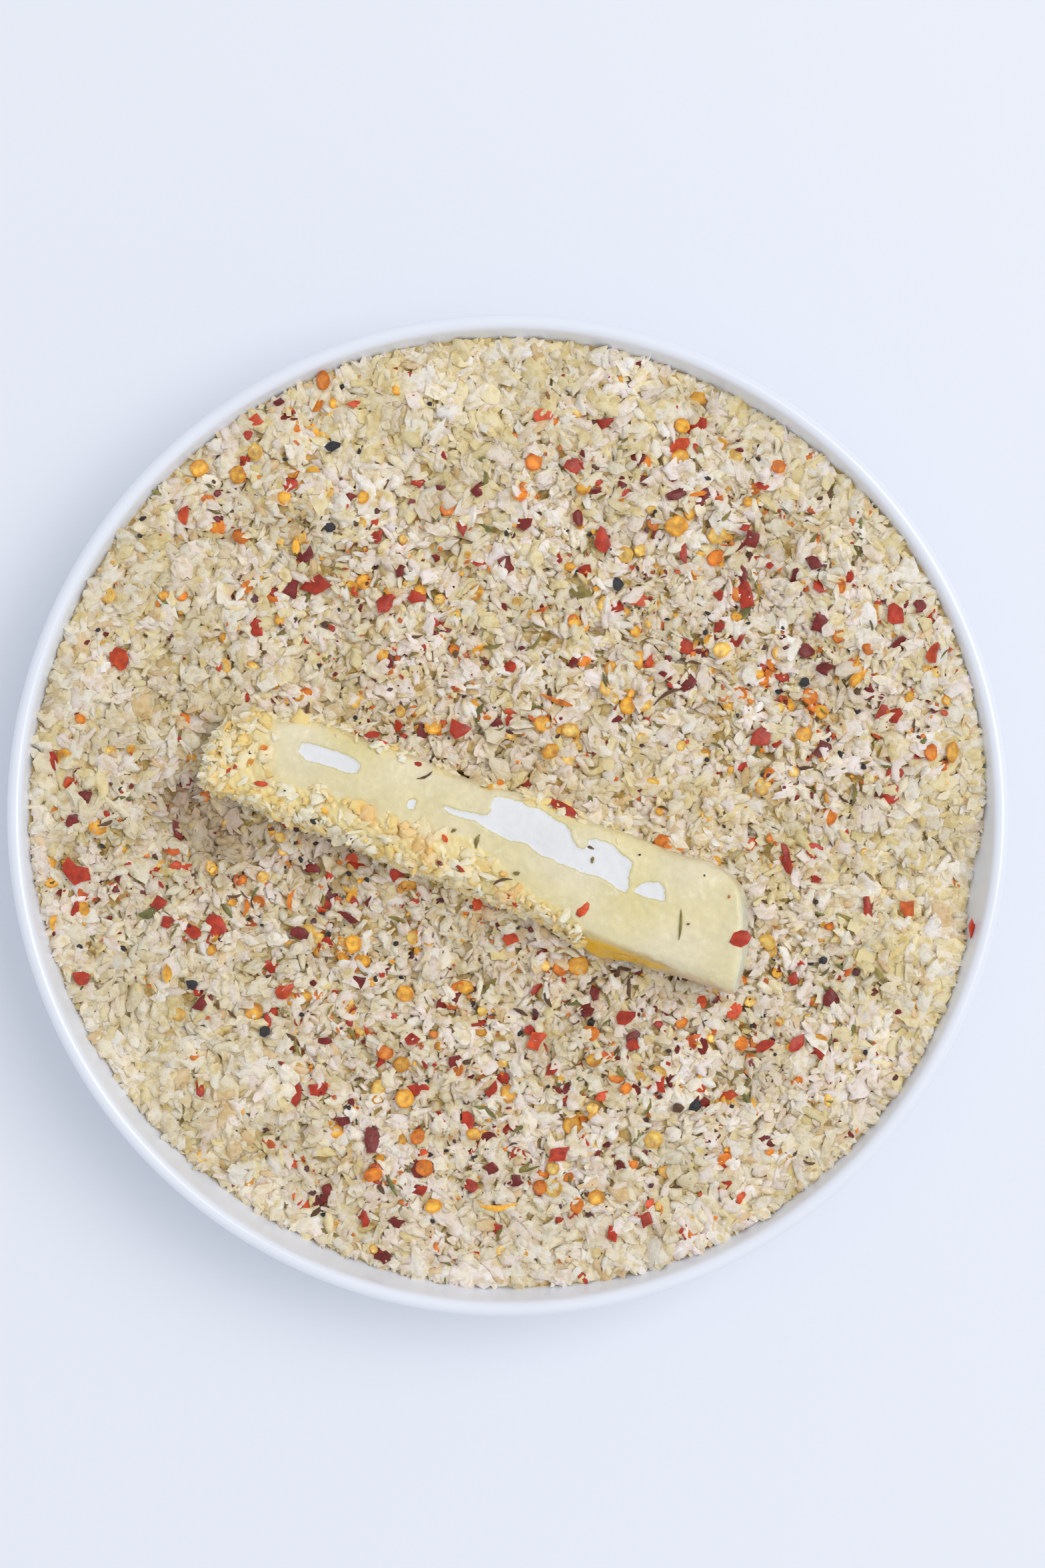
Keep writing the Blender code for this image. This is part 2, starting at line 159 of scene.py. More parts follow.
def turned(profile, steps):
    # a profile of (radius, height), with both ends on the axis, turned about Z
    angles = math.tau * np.arange(steps) / steps
    rings = [ringAt(radius, height, angles) for radius, height in profile[1:-1]]
    top, bottom = ([[0.0, 0.0, profile[i][1]]] for i in (0, -1))
    return np.concatenate([top, *rings, bottom]), webFaces(steps, len(rings))


def spins(yaw, pitch, roll):
    # one rotation matrix for each piece: rolled about its length, pitched up, then turned about Z
    cy, sy, cp, sp, cr, sr = (f(a) for a in (yaw, pitch, roll) for f in (np.cos, np.sin))
    rows = [cy * cp, cy * sp * sr - sy * cr, cy * sp * cr + sy * sr,
            sy * cp, sy * sp * sr + cy * cr, sy * sp * cr - cy * sr,
            -sp, cp * sr, cp * cr]
    return np.stack(rows, -1).reshape(-1, 3, 3)


def scattered(name, node, blanks, faces, places, turns, tints, material, sharpAngle):
    # blanks holds each piece's own corners: (pieces, corners, 3)
    corners = np.einsum("nij,nvj->nvi", turns, blanks) + places[:, None, :]
    count, perPiece = corners.shape[:2]
    allFaces = (faces[None] + perPiece * np.arange(count)[:, None, None]).reshape(-1, 3)
    if tints.ndim == 2:
        tints = np.repeat(tints[:, None], perPiece, 1)
    corners, tints = corners.reshape(-1, 3), tints.reshape(-1, 3)
    standsFor(node, newObject(name, corners, allFaces, material, tints=tints, sharpAngle=sharpAngle))


# Material helpers: every texture lies in object space, which is the part's own frame

def newMaterial(name, roughness, **settings):
    material = bpy.data.materials.new(name)
    material.use_nodes = True
    shader = material.node_tree.nodes["Principled BSDF"]
    shader.inputs["Roughness"].default_value = roughness
    for socket, value in settings.items():
        shader.inputs[socket.replace("_", " ")].default_value = value
    return material, shader


def feed(material, shader, **sockets):
    for name, value in sockets.items():
        material.node_tree.links.new(value, shader.inputs[name.replace("_", " ")])


def addNode(material, kind, inputs=(), **settings):
    node = material.node_tree.nodes.new(kind)
    for key, value in settings.items():
        setattr(node, key, value)
    for socket, value in dict(inputs).items():
        if isinstance(value, bpy.types.NodeSocket):
            material.node_tree.links.new(value, node.inputs[socket])
        else:
            node.inputs[socket].default_value = value
    return node


def noiseOf(material, sizeMm, detail=2.0, roughness=0.5):
    place = addNode(material, "ShaderNodeTexCoord").outputs["Object"]
    inputs = {"Vector": place, "Scale": 1.0 / (sizeMm * mm), "Detail": detail, "Roughness": roughness}
    return addNode(material, "ShaderNodeTexNoise", inputs).outputs["Fac"]


def ranged(material, value, low, high, outLow=0.0, outHigh=1.0):
    inputs = {"Value": value, "From Min": low, "From Max": high, "To Min": outLow, "To Max": outHigh}
    return addNode(material, "ShaderNodeMapRange", inputs).outputs["Result"]


def mixed(material, factor, first, second, blend="MIX"):
    node = addNode(material, "ShaderNodeMix", data_type="RGBA", blend_type=blend)
    for socket, value in ((0, factor), (6, first), (7, second)):
        if isinstance(value, bpy.types.NodeSocket):
            material.node_tree.links.new(value, node.inputs[socket])
        elif socket == 0:
            node.inputs[socket].default_value = value
        else:
            node.inputs[socket].default_value = (*value, 1.0)
    return node.outputs[2]


def multiplied(material, first, second):
    return mixed(material, 1.0, first, second, "MULTIPLY")


def bumped(material, shader, *layers):
    # layers of (height socket, depth in mm), each over the one before
    normal = None
    for height, depthMm in layers:
        inputs = {"Height": height, "Distance": depthMm * mm, "Strength": 1.0}
        if normal is not None:
            inputs["Normal"] = normal
        normal = addNode(material, "ShaderNodeBump", inputs).outputs["Normal"]
    feed(material, shader, Normal=normal)


def tintOf(material):
    return addNode(material, "ShaderNodeAttribute", attribute_name="tint").outputs["Color"]


# Bowl: the same turned form as the frame's, finely stepped

bowlShape = {
    "rimRadius": 0.0925,
    "rimHeight": 0.032,
    "lipWidth": 0.0030,
    "lipTurn": (150.0, -20.0),        # degrees that the round lip goes through
    "lipSteps": 15,
    "floorRadius": 0.058,
    "floorHeight": 0.006,
    "arcRadius": 0.03245,
    "arcEnd": math.radians(76.0),
    "arcSteps": 30,
    "wallThickness": 0.0036,
    "wallBelowLip": 0.0004,
    "footOuter": 0.0500,
    "footInner": 0.0462,
    "footHeight": 0.0022,
    "footEase": 0.0005,
    "footFlare": 0.0012,
    "footDraft": 0.0001,
    "recessLean": 0.0010,
    "recessHeight": 0.0018,
    "turnSteps": 180,
}
glazeLook = {
    "white": (239, 242, 251),
    "poolMm": 22.0,
    "poolShade": 0.975,
    "gloss": 0.22,
    "clay": (205, 196, 182),
    "clayMatt": 0.8,
    "gritMm": 0.5,
    "bareFadeMm": (0.6, 0.4),        # the clay shows below these heights
    "swellMm": 9.0,
    "swellDepthMm": 0.05,
    "peelMm": 0.9,
    "peelDepthMm": 0.006,
}


def wallPoint(arc, gap=0.0):
    reach = bowlShape["arcRadius"] - gap
    radius = bowlShape["floorRadius"] + reach * np.sin(arc)
    height = bowlShape["floorHeight"] + bowlShape["arcRadius"] - reach * np.cos(arc)
    return radius, height


def wallArcAt(height):
    share = 1.0 - (np.asarray(height) - bowlShape["floorHeight"]) / bowlShape["arcRadius"]
    return np.arccos(np.clip(share, math.cos(bowlShape["arcEnd"]), 1.0))


def wallRadiusAt(height, gap=0.0):
    return wallPoint(wallArcAt(height), gap)[0]


def bowlProfile():
    b = bowlShape
    points = [(0.0, b["floorHeight"]), (b["floorRadius"] * 0.5, b["floorHeight"])]
    arcs = np.linspace(0.0, b["arcEnd"], b["arcSteps"])
    points += [tuple(wallPoint(arc)) for arc in arcs]
    lip = b["lipWidth"] / 2.0
    for angle in np.radians(np.linspace(*b["lipTurn"], b["lipSteps"])):
        radius = b["rimRadius"] - lip + lip * math.cos(angle)
        points.append((radius, b["rimHeight"] - lip + lip * math.sin(angle)))
    outside = [wallPoint(arc, -b["wallThickness"]) for arc in arcs[-2::-1]]
    highest = b["rimHeight"] - b["lipWidth"] - b["wallBelowLip"]
    points += [(radius, height) for radius, height in outside if height < highest]
    return points + [
        (b["footOuter"] + b["footFlare"], b["footHeight"]),
        (b["footOuter"] + b["footDraft"], b["footEase"]),
        (b["footOuter"] - b["footEase"], 0.0),
        (b["footInner"] + b["footEase"], 0.0),
        (b["footInner"], b["footEase"]),
        (b["footInner"] - b["recessLean"], b["recessHeight"]),
        (0.0, b["recessHeight"]),
    ]


def glazeMaterial():
    # cool white glaze that pools a little, with the bare clay of the foot's standing face
    g = glazeLook
    material, shader = newMaterial("whiteGlaze", g["gloss"], IOR=1.5, Coat_Weight=0.35, Coat_Roughness=0.12)
    pools = ranged(material, noiseOf(material, g["poolMm"], 3.0), 0.3, 0.7)
    glaze = mixed(material, pools, linear(g["white"]) * g["poolShade"], linear(g["white"]))
    place = addNode(material, "ShaderNodeTexCoord").outputs["Object"]
    height = addNode(material, "ShaderNodeSeparateXYZ", {"Vector": place}).outputs["Z"]
    bare = ranged(material, height, *(fade * mm for fade in g["bareFadeMm"]))
    grit = ranged(material, noiseOf(material, g["gritMm"], 4.0), 0.35, 0.65, 0.85, 1.05)
    clay = multiplied(material, linear(g["clay"]), grit)
    roughness = ranged(material, bare, 0.0, 1.0, g["gloss"], g["clayMatt"])
    feed(material, shader, Base_Color=mixed(material, bare, glaze, clay), Roughness=roughness)
    swell = (noiseOf(material, g["swellMm"]), g["swellDepthMm"])
    peel = (noiseOf(material, g["peelMm"]), g["peelDepthMm"])
    bumped(material, shader, swell, peel)
    return material


def makeBowl():
    points, faces = turned(bowlProfile(), bowlShape["turnSteps"])
    standsFor("bowl", newObject("bowl_glazed", points, faces, glazeMaterial()))


# Crumb bed: the same level as the frame's, with crumb-sized relief, under the loose crumbs

bedShape = {
    "edgeDropsMm": (3.2, 2.2, 4.6, 4.0, 3.4, 3.2, 3.2, 5.8, 7.2, 5.6, 4.0, 3.7),
    "bayAngle": math.radians(-8.5),
    "bayWidth": math.radians(7.0),
    "bayDropMm": 4.6,
    "middleDropMm": 4.7,
    "middleReach": 2.5,
    "swellMm": 0.5,
    "swellWaves": ((95.0, 0.6), (120.0, -0.4)),        # turns and start, along X and along Y
    "heapMm": 0.85,
    "heapSizeMm": 7.5,
    "clodMm": 0.62,
    "clodSizeMm": 4.6,
    "pressedDipMm": 1.1,
    "bankMm": 2.4,
    "gapMm": 0.12,
    "hollowMostMm": 7.5,
    "hollowSteps": 26,
    "hollowRoomMm": 0.6,
    "hollowExtraMm": 0.3,
    "seed": 11,
}
bedCore = {
    "edgeSteps": 300,
    "wallLevels": 6,
    "gridReach": 110,
    "stepMm": 1.0,
    "shake": 0.35,
    "edgeMargin": 0.6,
    "belowMm": 0.60,
    "reliefMm": 0.50,
    # tan and darker than the loose crumbs: partly deeper crumbs, partly painted shade of the gaps between
    # them
    "colours": ((206, 176, 112), (220, 194, 136), (234, 214, 166)),
    "shares": (0.45, 0.35, 0.20),
    "shade": (0.85, 1.08),
}


def crumbLevel(x, y):
    b = bedShape
    drops = np.array(b["edgeDropsMm"]) * mm
    angle = np.arctan2(y, x)
    place = (angle / math.tau) % 1.0 * len(drops)
    index = np.floor(place).astype(int)
    ease = 0.5 - 0.5 * np.cos(math.pi * (place - index))
    drop = drops[index % len(drops)] * (1.0 - ease) + drops[(index + 1) % len(drops)] * ease
    away = (angle - b["bayAngle"] + math.pi) % math.tau - math.pi
    drop = drop + b["bayDropMm"] * mm * np.exp(-((away / b["bayWidth"]) ** 2))
    share = np.minimum(np.hypot(x, y) / (bowlShape["rimRadius"] - bowlShape["lipWidth"]), 1.0)
    (turnsX, startX), (turnsY, startY) = b["swellWaves"]
    waves = np.sin(x * turnsX + startX) + np.cos(y * turnsY + startY)
    level = b["middleDropMm"] * mm * (1.0 - share ** b["middleReach"]) + drop * share ** b["middleReach"]
    return bowlShape["rimHeight"] - level + b["swellMm"] * mm * waves * (1.0 - share * share)


def bedTop(x, y):
    # the level with its small heaps and dips, which fade towards the wall
    share = np.hypot(x, y) / bowlShape["rimRadius"]
    heap = ripple(np.stack([x, y], -1), bedShape["heapSizeMm"] * mm, bedShape["seed"])
    clod = ripple(np.stack([x, y], -1), bedShape["clodSizeMm"] * mm, bedShape["seed"] + 1)
    heap = bedShape["heapMm"] * heap + bedShape["clodMm"] * clod
    level = crumbLevel(x, y) + mm * heap * (1.0 - share**4)
    level = level - bedShape["pressedDipMm"] * mm * strongestAt(shadeAndDipSpots, x, y)
    return level + bedShape["bankMm"] * mm * strongestAt(bankSpots, x, y)


def edgeRadius(x, y):
    # how far out the crumbs reach in this direction
    angle = np.arctan2(y, x)
    rim = bowlShape["rimRadius"]
    return wallRadiusAt(crumbLevel(rim * np.cos(angle), rim * np.sin(angle)), bedShape["gapMm"] * mm)


# Where the chili and herbs are thick, and where there are few: pixel, reach in pixels and amount
spiceSpots = (
    ((1040, 880), 230, 0.9),
    ((560, 880), 170, 0.6),
    ((660, 1120), 150, 0.8),
    ((1190, 1500), 220, 0.9),
    ((620, 1720), 170, 1.2),
    ((420, 1350), 200, 0.7),
    ((340, 710), 110, 0.8),
    ((930, 1730), 130, 0.8),
    ((1260, 1080), 150, 0.8),
    ((780, 1500), 200, 0.6),
    ((840, 660), 90, 0.6),
    ((130, 1320), 110, 0.6),
)
bareSpots = (
    ((1400, 1330), 130, 1.0),
    ((1340, 1520), 90, 0.6),
    ((760, 550), 130, 0.5),
    ((200, 1620), 110, 0.5),
)

# Where the crumbs are pushed down beside the cheese and darkened with painted shade, and where they are
# heaped against it
shadeAndDipSpots = (
    ((280, 1205), 55, 0.82),
    ((325, 1250), 55, 0.82),
    ((385, 1262), 40, 0.6),
    ((450, 1290), 40, 0.45),
    ((505, 1268), 34, 0.6),
    ((520, 1320), 40, 0.4),
    ((590, 1345), 36, 0.25),
    ((885, 1470), 32, 0.2),
    ((980, 1500), 32, 0.2),
    ((320, 1090), 35, 0.35),
)
bankSpots = (
    ((640, 1336), 32, 0.7),
    ((700, 1358), 32, 1.0),
    ((760, 1380), 32, 1.0),
    ((815, 1401), 30, 1.0),
    ((850, 1414), 24, 0.8),
)

plainSpice = 0.28


def spotted(spots, x, y):
    # how much each spot gives at these places
    amounts = []
    for pixel, reach, strength in spots:
        spotX, spotY = pixelToRim(pixel)
        away = np.hypot(x - spotX, y - spotY) / (reach * pixelSize)
        amounts.append(strength * np.exp(-(away**2)))
    return np.array(amounts)


def strongestAt(spots, x, y):
    return spotted(spots, x, y).max(0)


def spiceAt(x, y):
    spice = plainSpice + spotted(spiceSpots, x, y).sum(0) - spotted(bareSpots, x, y).sum(0)
    return np.clip(spice, 0.03, 1.2)


crumbLook = {
    "lumpMm": 2.0,
    "lumpDepthMm": 0.38,
    "knobMm": 1.0,
    "knobDepthMm": 0.10,
    "poreMm": 0.32,
    "poreDepthMm": 0.04,
    # painted shade that multiplies the tint in the hollows of the lumps
    "valley": (0.76, 0.64, 0.38),
    "crest": (0.99, 0.99, 1.02),
}


def crumbMaterial(name, valleyShare, valleyShade=crumbLook["valley"], lumpDepthMm=crumbLook["lumpDepthMm"]):
    # dry bread: the tint of each crumb, with painted shade that makes it tanner and darker in the hollows of
    # its lumps and in its open pores
    k = crumbLook
    material, shader = newMaterial(name, 0.9, Specular_IOR_Level=0.25)
    lumps = noiseOf(material, k["lumpMm"], 3.0, 0.6)
    knobs = noiseOf(material, k["knobMm"])
    pores = noiseOf(material, k["poreMm"], 3.0, 0.6)
    # painted shade: how much of the valley colour lies in the hollows of the lumps
    valley = ranged(material, lumps, 0.52, 0.36, 0.0, valleyShare)
    colour = multiplied(material, tintOf(material), mixed(material, valley, k["crest"], valleyShade))
    # painted shade in the pores
    colour = multiplied(material, colour, ranged(material, pores, 0.30, 0.55, 0.94, 1.0))
    feed(material, shader, Base_Color=colour)
    bumped(material, shader, (lumps, lumpDepthMm), (knobs, k["knobDepthMm"]), (pores, k["poreDepthMm"]))
    return material


def bedGrid(draws, edge):
    # the bed's top seen from above: an even grid, shaken, inside the edge, and the triangles between them
    c = bedCore
    step = c["stepMm"] * mm
    across = np.arange(-c["gridReach"], c["gridReach"] + 1)
    column, row = np.meshgrid(across, across)
    x = (column + 0.5 * (row % 2)) * step
    y = row * step * math.sqrt(3.0) / 2.0
    grid = np.stack([x.ravel(), y.ravel()], 1) + draws.uniform(-1.0, 1.0, (x.size, 2)) * step * c["shake"]
    grid = grid[np.hypot(*grid.T) < edgeRadius(*grid.T) - c["edgeMargin"] * step]
    ring = [(i, (i + 1) % len(edge)) for i in range(len(edge))]
    flat = [Vector(p) for p in np.concatenate([edge, grid])]
    flat, _, faces, origins, _, _ = delaunay_2d_cdt(flat, ring, [], 1, 1e-7)
    tops = {origin[0]: i for i, origin in enumerate(origins) if origin}
    upper = np.array([tops[i] for i in range(len(edge))])
    return np.array(flat), np.array([list(face) for face in faces]), upper


def makeBedCore(material):
    b, c = bedShape, bedCore
    gap, below = b["gapMm"] * mm, c["belowMm"] * mm
    draws = np.random.default_rng(b["seed"])
    angles = math.tau * np.arange(c["edgeSteps"]) / c["edgeSteps"]
    edge = ringAt(edgeRadius(np.cos(angles), np.sin(angles)), 0.0, angles)[:, :2]
    flat, faces, upper = bedGrid(draws, edge)
    height = bedTop(*flat.T) - below
    height += draws.uniform(-1.0, 1.0, len(flat)) * c["reliefMm"] * mm
    height -= hollowUnderStick(*flat.T, height)
    points = np.column_stack([flat, height])
    points[upper, 2] = wallPoint(wallArcAt(crumbLevel(*edge.T)), gap)[1] - below
    arcs = wallArcAt(points[upper, 2])
    rows, sides = [points], [faces]
    for level in range(1, c["wallLevels"] + 1):
        rows.append(ringAt(*wallPoint(arcs * (1.0 - level / c["wallLevels"]), gap), angles))
        lower = len(points) + (level - 1) * len(angles) + np.arange(len(angles))
        sides.append(band(upper, lower))
        upper = lower
    rows.append([[0.0, 0.0, bowlShape["floorHeight"] + gap]])
    sides.append(fan(upper[-1] + 1, upper)[:, ::-1])
    points = np.concatenate(rows)
    palette = linear(c["colours"])
    tints = palette[draws.choice(len(palette), len(points), p=c["shares"])]
    tints = tints * draws.uniform(*c["shade"], (len(points), 1))
    faces = np.concatenate(sides)
    standsFor("crumb_bed", newObject("crumb_bed_core", points, faces, material, smooth=False, tints=tints))


# Cheese stick: the same squared-off, slanted block as the frame's

stickShape = {
    "centre": (-0.0036, -0.0040, 0.0315),
    "turn": math.radians(-20.0),
    "pitch": math.radians(4.0),
    "thickness": 0.0140,
    "alongMm": (-50.0, -38.0, -18.0, 2.0, 20.0, 36.0, 49.0),
    "backMm": (8.0, 9.0, 9.0, 9.3, 9.3, 9.4, 9.1),
    "frontMm": (-7.8, -8.4, -8.6, -9.1, -10.0, -10.8, -11.3),
    "squareness": 5.0,
    "leanMm": (15.0, 20.0, 26.0, 31.0, 36.0, 40.5, 46.0),
    "frontLeans": (0.16, 0.24, 0.33, 0.22, 0.21, 0.13, 0.07),
    "leanFade": 0.62,                  # the share of the section below which the lean fades out
    "endSlant": 0.30,
    "endLean": 0.09,
    "slantStart": 0.020,
    "slantPower": 1.5,
    "leftEnd": -0.0528,
    "rightEnd": 0.0500,
    "wave": 0.00025,
    "waveTurns": (310.0, 170.0),
    "cornerRadius": 0.0034,
    "leftCorner": 0.0092,
    "leftCornerPower": 1.6,
    "leftCornerFade": (-0.036, -0.0505),
    "endBulge": 0.0006,
}
stickMatrix = (
    Matrix.Translation(stickShape["centre"])
    @ Matrix.Rotation(stickShape["turn"], 4, "Z")
    @ Matrix.Rotation(-stickShape["pitch"], 4, "Y")
)
stickSpin = np.array(stickMatrix.to_3x3())
stickCentre = np.array(stickShape["centre"])


def toStick(points):
    return (points - stickCentre) @ stickSpin


def fromStick(points):
    return points @ stickSpin.T + stickCentre


def stickSides(along):
    s = stickShape
    stations = np.array(s["alongMm"]) * mm
    return np.interp(along, stations, s["backMm"]) * mm, np.interp(along, stations, s["frontMm"]) * mm


def leanAt(along):
    return np.interp(along, np.array(stickShape["leanMm"]) * mm, stickShape["frontLeans"])


def leftCorner(back, across):
    # how far the coated end is rounded off at this place across it
    radius, power = stickShape["leftCorner"], stickShape["leftCornerPower"]
    into = np.clip((across - back) / radius + 1.0, 0.0, 1.0)
    return radius * (1.0 - (1.0 - into**power) ** (1.0 / power))


def endEase(along):
    # from 0 where the slant starts to about 1 at the right end
    s = stickShape
    return np.clip((along - s["slantStart"]) / (s["alongMm"][-1] * mm - s["slantStart"]), 0.0, 1.1)


def endSlant(along, sideways, up):
    s = stickShape
    return endEase(along) ** s["slantPower"] * (s["endSlant"] * sideways + s["endLean"] * up)


def insideStick(points, grow):
    # whether a point lies in the block grown outwards by this much
    s = stickShape
    along, across, up = np.moveaxis(toStick(points), -1, 0)
    back, front = stickSides(along)
    middle = (back + front) / 2.0
    halfHeight = s["thickness"] / 2.0
    lean = np.where(across < middle, leanAt(along) * np.maximum(halfHeight - up, 0.0), 0.0)
    sideways = np.abs(across - middle) / ((back - front) / 2.0 + grow + lean)
    section = sideways ** s["squareness"] + np.abs(up / (halfHeight + grow)) ** s["squareness"]
    left = s["leftEnd"] - grow + leftCorner(back, across)
    right = s["rightEnd"] + grow - endSlant(along, across - middle, up)
    return (section < 1.0) & (along > left) & (along < right)


def hollowUnderStick(x, y, height):
    # how far the bed's top is pressed down where the cheese lies in it
    b = bedShape
    points = np.stack([x, y, height], -1)
    top = np.zeros(len(x))
    for drop in np.linspace(0.0, b["hollowMostMm"], b["hollowSteps"]) * mm:
        inside = insideStick(points - np.array([0.0, 0.0, drop]), b["hollowRoomMm"] * mm)
        top = np.where(inside, drop + b["hollowExtraMm"] * mm, top)
    return top


# Loose crumbs: flat ragged slabs, airy lumps, chunks and grains, each kind in one piece

def ballBlank(kind):
    # an icosahedron or an octahedron
    if kind == "octahedron":
        points = [(1, 0, 0), (0, 1, 0), (-1, 0, 0), (0, -1, 0), (0, 0, 1), (0, 0, -1)]
        faces = [(0, 1, 4), (1, 2, 4), (2, 3, 4), (3, 0, 4), (1, 0, 5), (2, 1, 5), (3, 2, 5), (0, 3, 5)]
        return np.array(points, float), np.array(faces)
    points = [(0.0, 0.0, 1.0)]
    low = math.atan(0.5)
    for level, shift in ((low, 0.0), (-low, math.pi / 5.0)):
        for i in range(5):
            angle = math.tau * i / 5.0 + shift
            around = math.cos(level)
            points.append((around * math.cos(angle), around * math.sin(angle), math.sin(level)))
    points.append((0.0, 0.0, -1.0))
    faces = []
    for i in range(5):
        j = (i + 1) % 5
        faces += [(0, 1 + i, 1 + j), (1 + i, 6 + i, 1 + j), (1 + j, 6 + i, 6 + j), (11, 6 + j, 6 + i)]
    return np.array(points), np.array(faces)


def fluffBlank():
    # an icosahedron with each edge halved
    points, faces = ballBlank("icosahedron")
    points = [np.array(p) for p in points]
    halves = {}

    def half(a, b):
        key = (min(a, b), max(a, b))
        if key not in halves:
            middle = points[a] + points[b]
            halves[key] = len(points)
            points.append(middle / np.linalg.norm(middle))
        return halves[key]

    finer = []
    for a, b, c in faces:
        ab, bc, ca = half(a, b), half(b, c), half(c, a)
        finer += [(a, ab, ca), (ab, b, bc), (ca, bc, c), (ab, bc, ca)]
    return np.array(points), np.array(finer)


def ringed(count, sides, rings, sizes, draws, rag=0.32, curl=0.25, shake=0.22):
    # flat ragged pieces: a top middle, rings of (share, height) from the top down and a bottom middle
    index = np.arange(sides)
    shift = draws.uniform(-0.28, 0.28, (count, sides)) * min(1.0, rag * 4.0)
    angle = math.tau * (index + 0.5 + shift) / sides
    reach = 1.0 + draws.uniform(-1.5 * rag, 0.6 * rag, (count, sides))
    bow = draws.uniform(-curl, curl, (count, 1))
    twist = draws.uniform(-curl, curl, (count, 1))
    rows = []
    for share, height in rings[1:-1]:
        x = share * reach * np.cos(angle)
        y = share * reach * np.sin(angle)
        z = height + draws.uniform(-shake, shake, (count, sides)) + 2.0 * (bow * x * x + twist * x * y)
        rows.append(np.stack([x, y, z], -1))
    top = np.zeros((count, 1, 3))
    top[..., 2] = rings[0][1] + draws.uniform(-shake, shake, (count, 1))
    bottom = np.zeros((count, 1, 3))
    bottom[..., 2] = rings[-1][1]
    return np.concatenate([top, *rows, bottom], 1) * sizes[:, None, :]


def strips(count, sizes, draws, stations=6):
    # slender bent leaves with a diamond section and pointed ends
    x = np.linspace(-1.0, 1.0, stations)[None, :]
    bend = draws.uniform(-1.0, 1.0, (count, 1)) * (sizes[:, :1] / sizes[:, 1:2]) * 0.35
    bow = draws.uniform(-0.6, 0.6, (count, 1))
    wide = np.maximum(1.0 - x * x, 0.12) ** 0.6 * draws.uniform(0.7, 1.15, (count, stations))
    middle = bend * (x * x - 0.4)
    corners = []
    for side, up in ((1.0, 0.0), (0.0, 1.0), (-1.0, 0.0), (0.0, -1.0)):
        y = middle + side * wide
        z = up * wide + bow * x * x
        corners.append(np.stack([np.broadcast_to(x, y.shape), y, z], -1))
    return np.stack(corners, 2).reshape(count, -1, 3) * sizes[:, None, :]


def stripFaces(stations=6):
    ring = np.arange(4)
    bands = [band(ring + 4 * i, ring + 4 * (i + 1))[:, ::-1] for i in range(stations - 1)]
    end = 4 * (stations - 1)
    tips = [(0, 2, 1), (0, 3, 2), (end, end + 1, end + 2), (end, end + 2, end + 3)]
    return np.concatenate([*bands, tips])


slabRings = ((0.0, 0.5), (0.70, 0.45), (1.0, -0.20), (0.0, -0.5))
seedRings = ((0.0, 0.46), (0.50, 0.36), (0.82, 0.50), (1.0, 0.0), (0.78, -0.5), (0.0, -0.5))
seedSides = 12
fluffLumps = (0.56, 1.34)
fluffShake = (0.85, 1.15)


def shaped(kind, sizes, draws):
    # the corners of every piece of this kind, and the faces that they share
    count, shape = len(sizes), kind["shape"]
    if shape == "slab":
        loose = {key: kind[key] for key in ("rag", "curl", "shake") if key in kind}
        return ringed(count, kind["sides"], slabRings, sizes, draws, **loose), webFaces(kind["sides"], 2)
    if shape == "seed":
        seeds = ringed(count, seedSides, seedRings, sizes, draws, rag=0.09, curl=0.15, shake=0.10)
        return seeds, webFaces(seedSides, len(seedRings) - 2)
    if shape == "strip":
        return strips(count, sizes, draws), stripFaces()
    blank, faces = fluffBlank() if shape == "fluff" else ballBlank(shape)
    if shape == "fluff":
        lumps = draws.uniform(*fluffLumps, (count, len(blank), 1))
        lumps = lumps * draws.uniform(*fluffShake, (count, len(blank), 3))
    else:
        shake = kind.get("shake", 0.28)
        lumps = 1.0 + draws.uniform(-shake, shake, (count, len(blank), 3))
    return blank * lumps * sizes[:, None], faces


def drawnSizes(kind, count, draws, power=1.0):
    # length, width, thickness and lift of each piece; a higher power makes more of them short
    low, high = kind["lengthMm"]
    length = (low + (high - low) * draws.uniform(0.0, 1.0, count) ** power) * mm
    width = length * draws.uniform(*kind["width"], count)
    thick, lift = (draws.uniform(*kind[key], count) * mm for key in ("thickMm", "liftMm"))
    return length, width, thick, lift
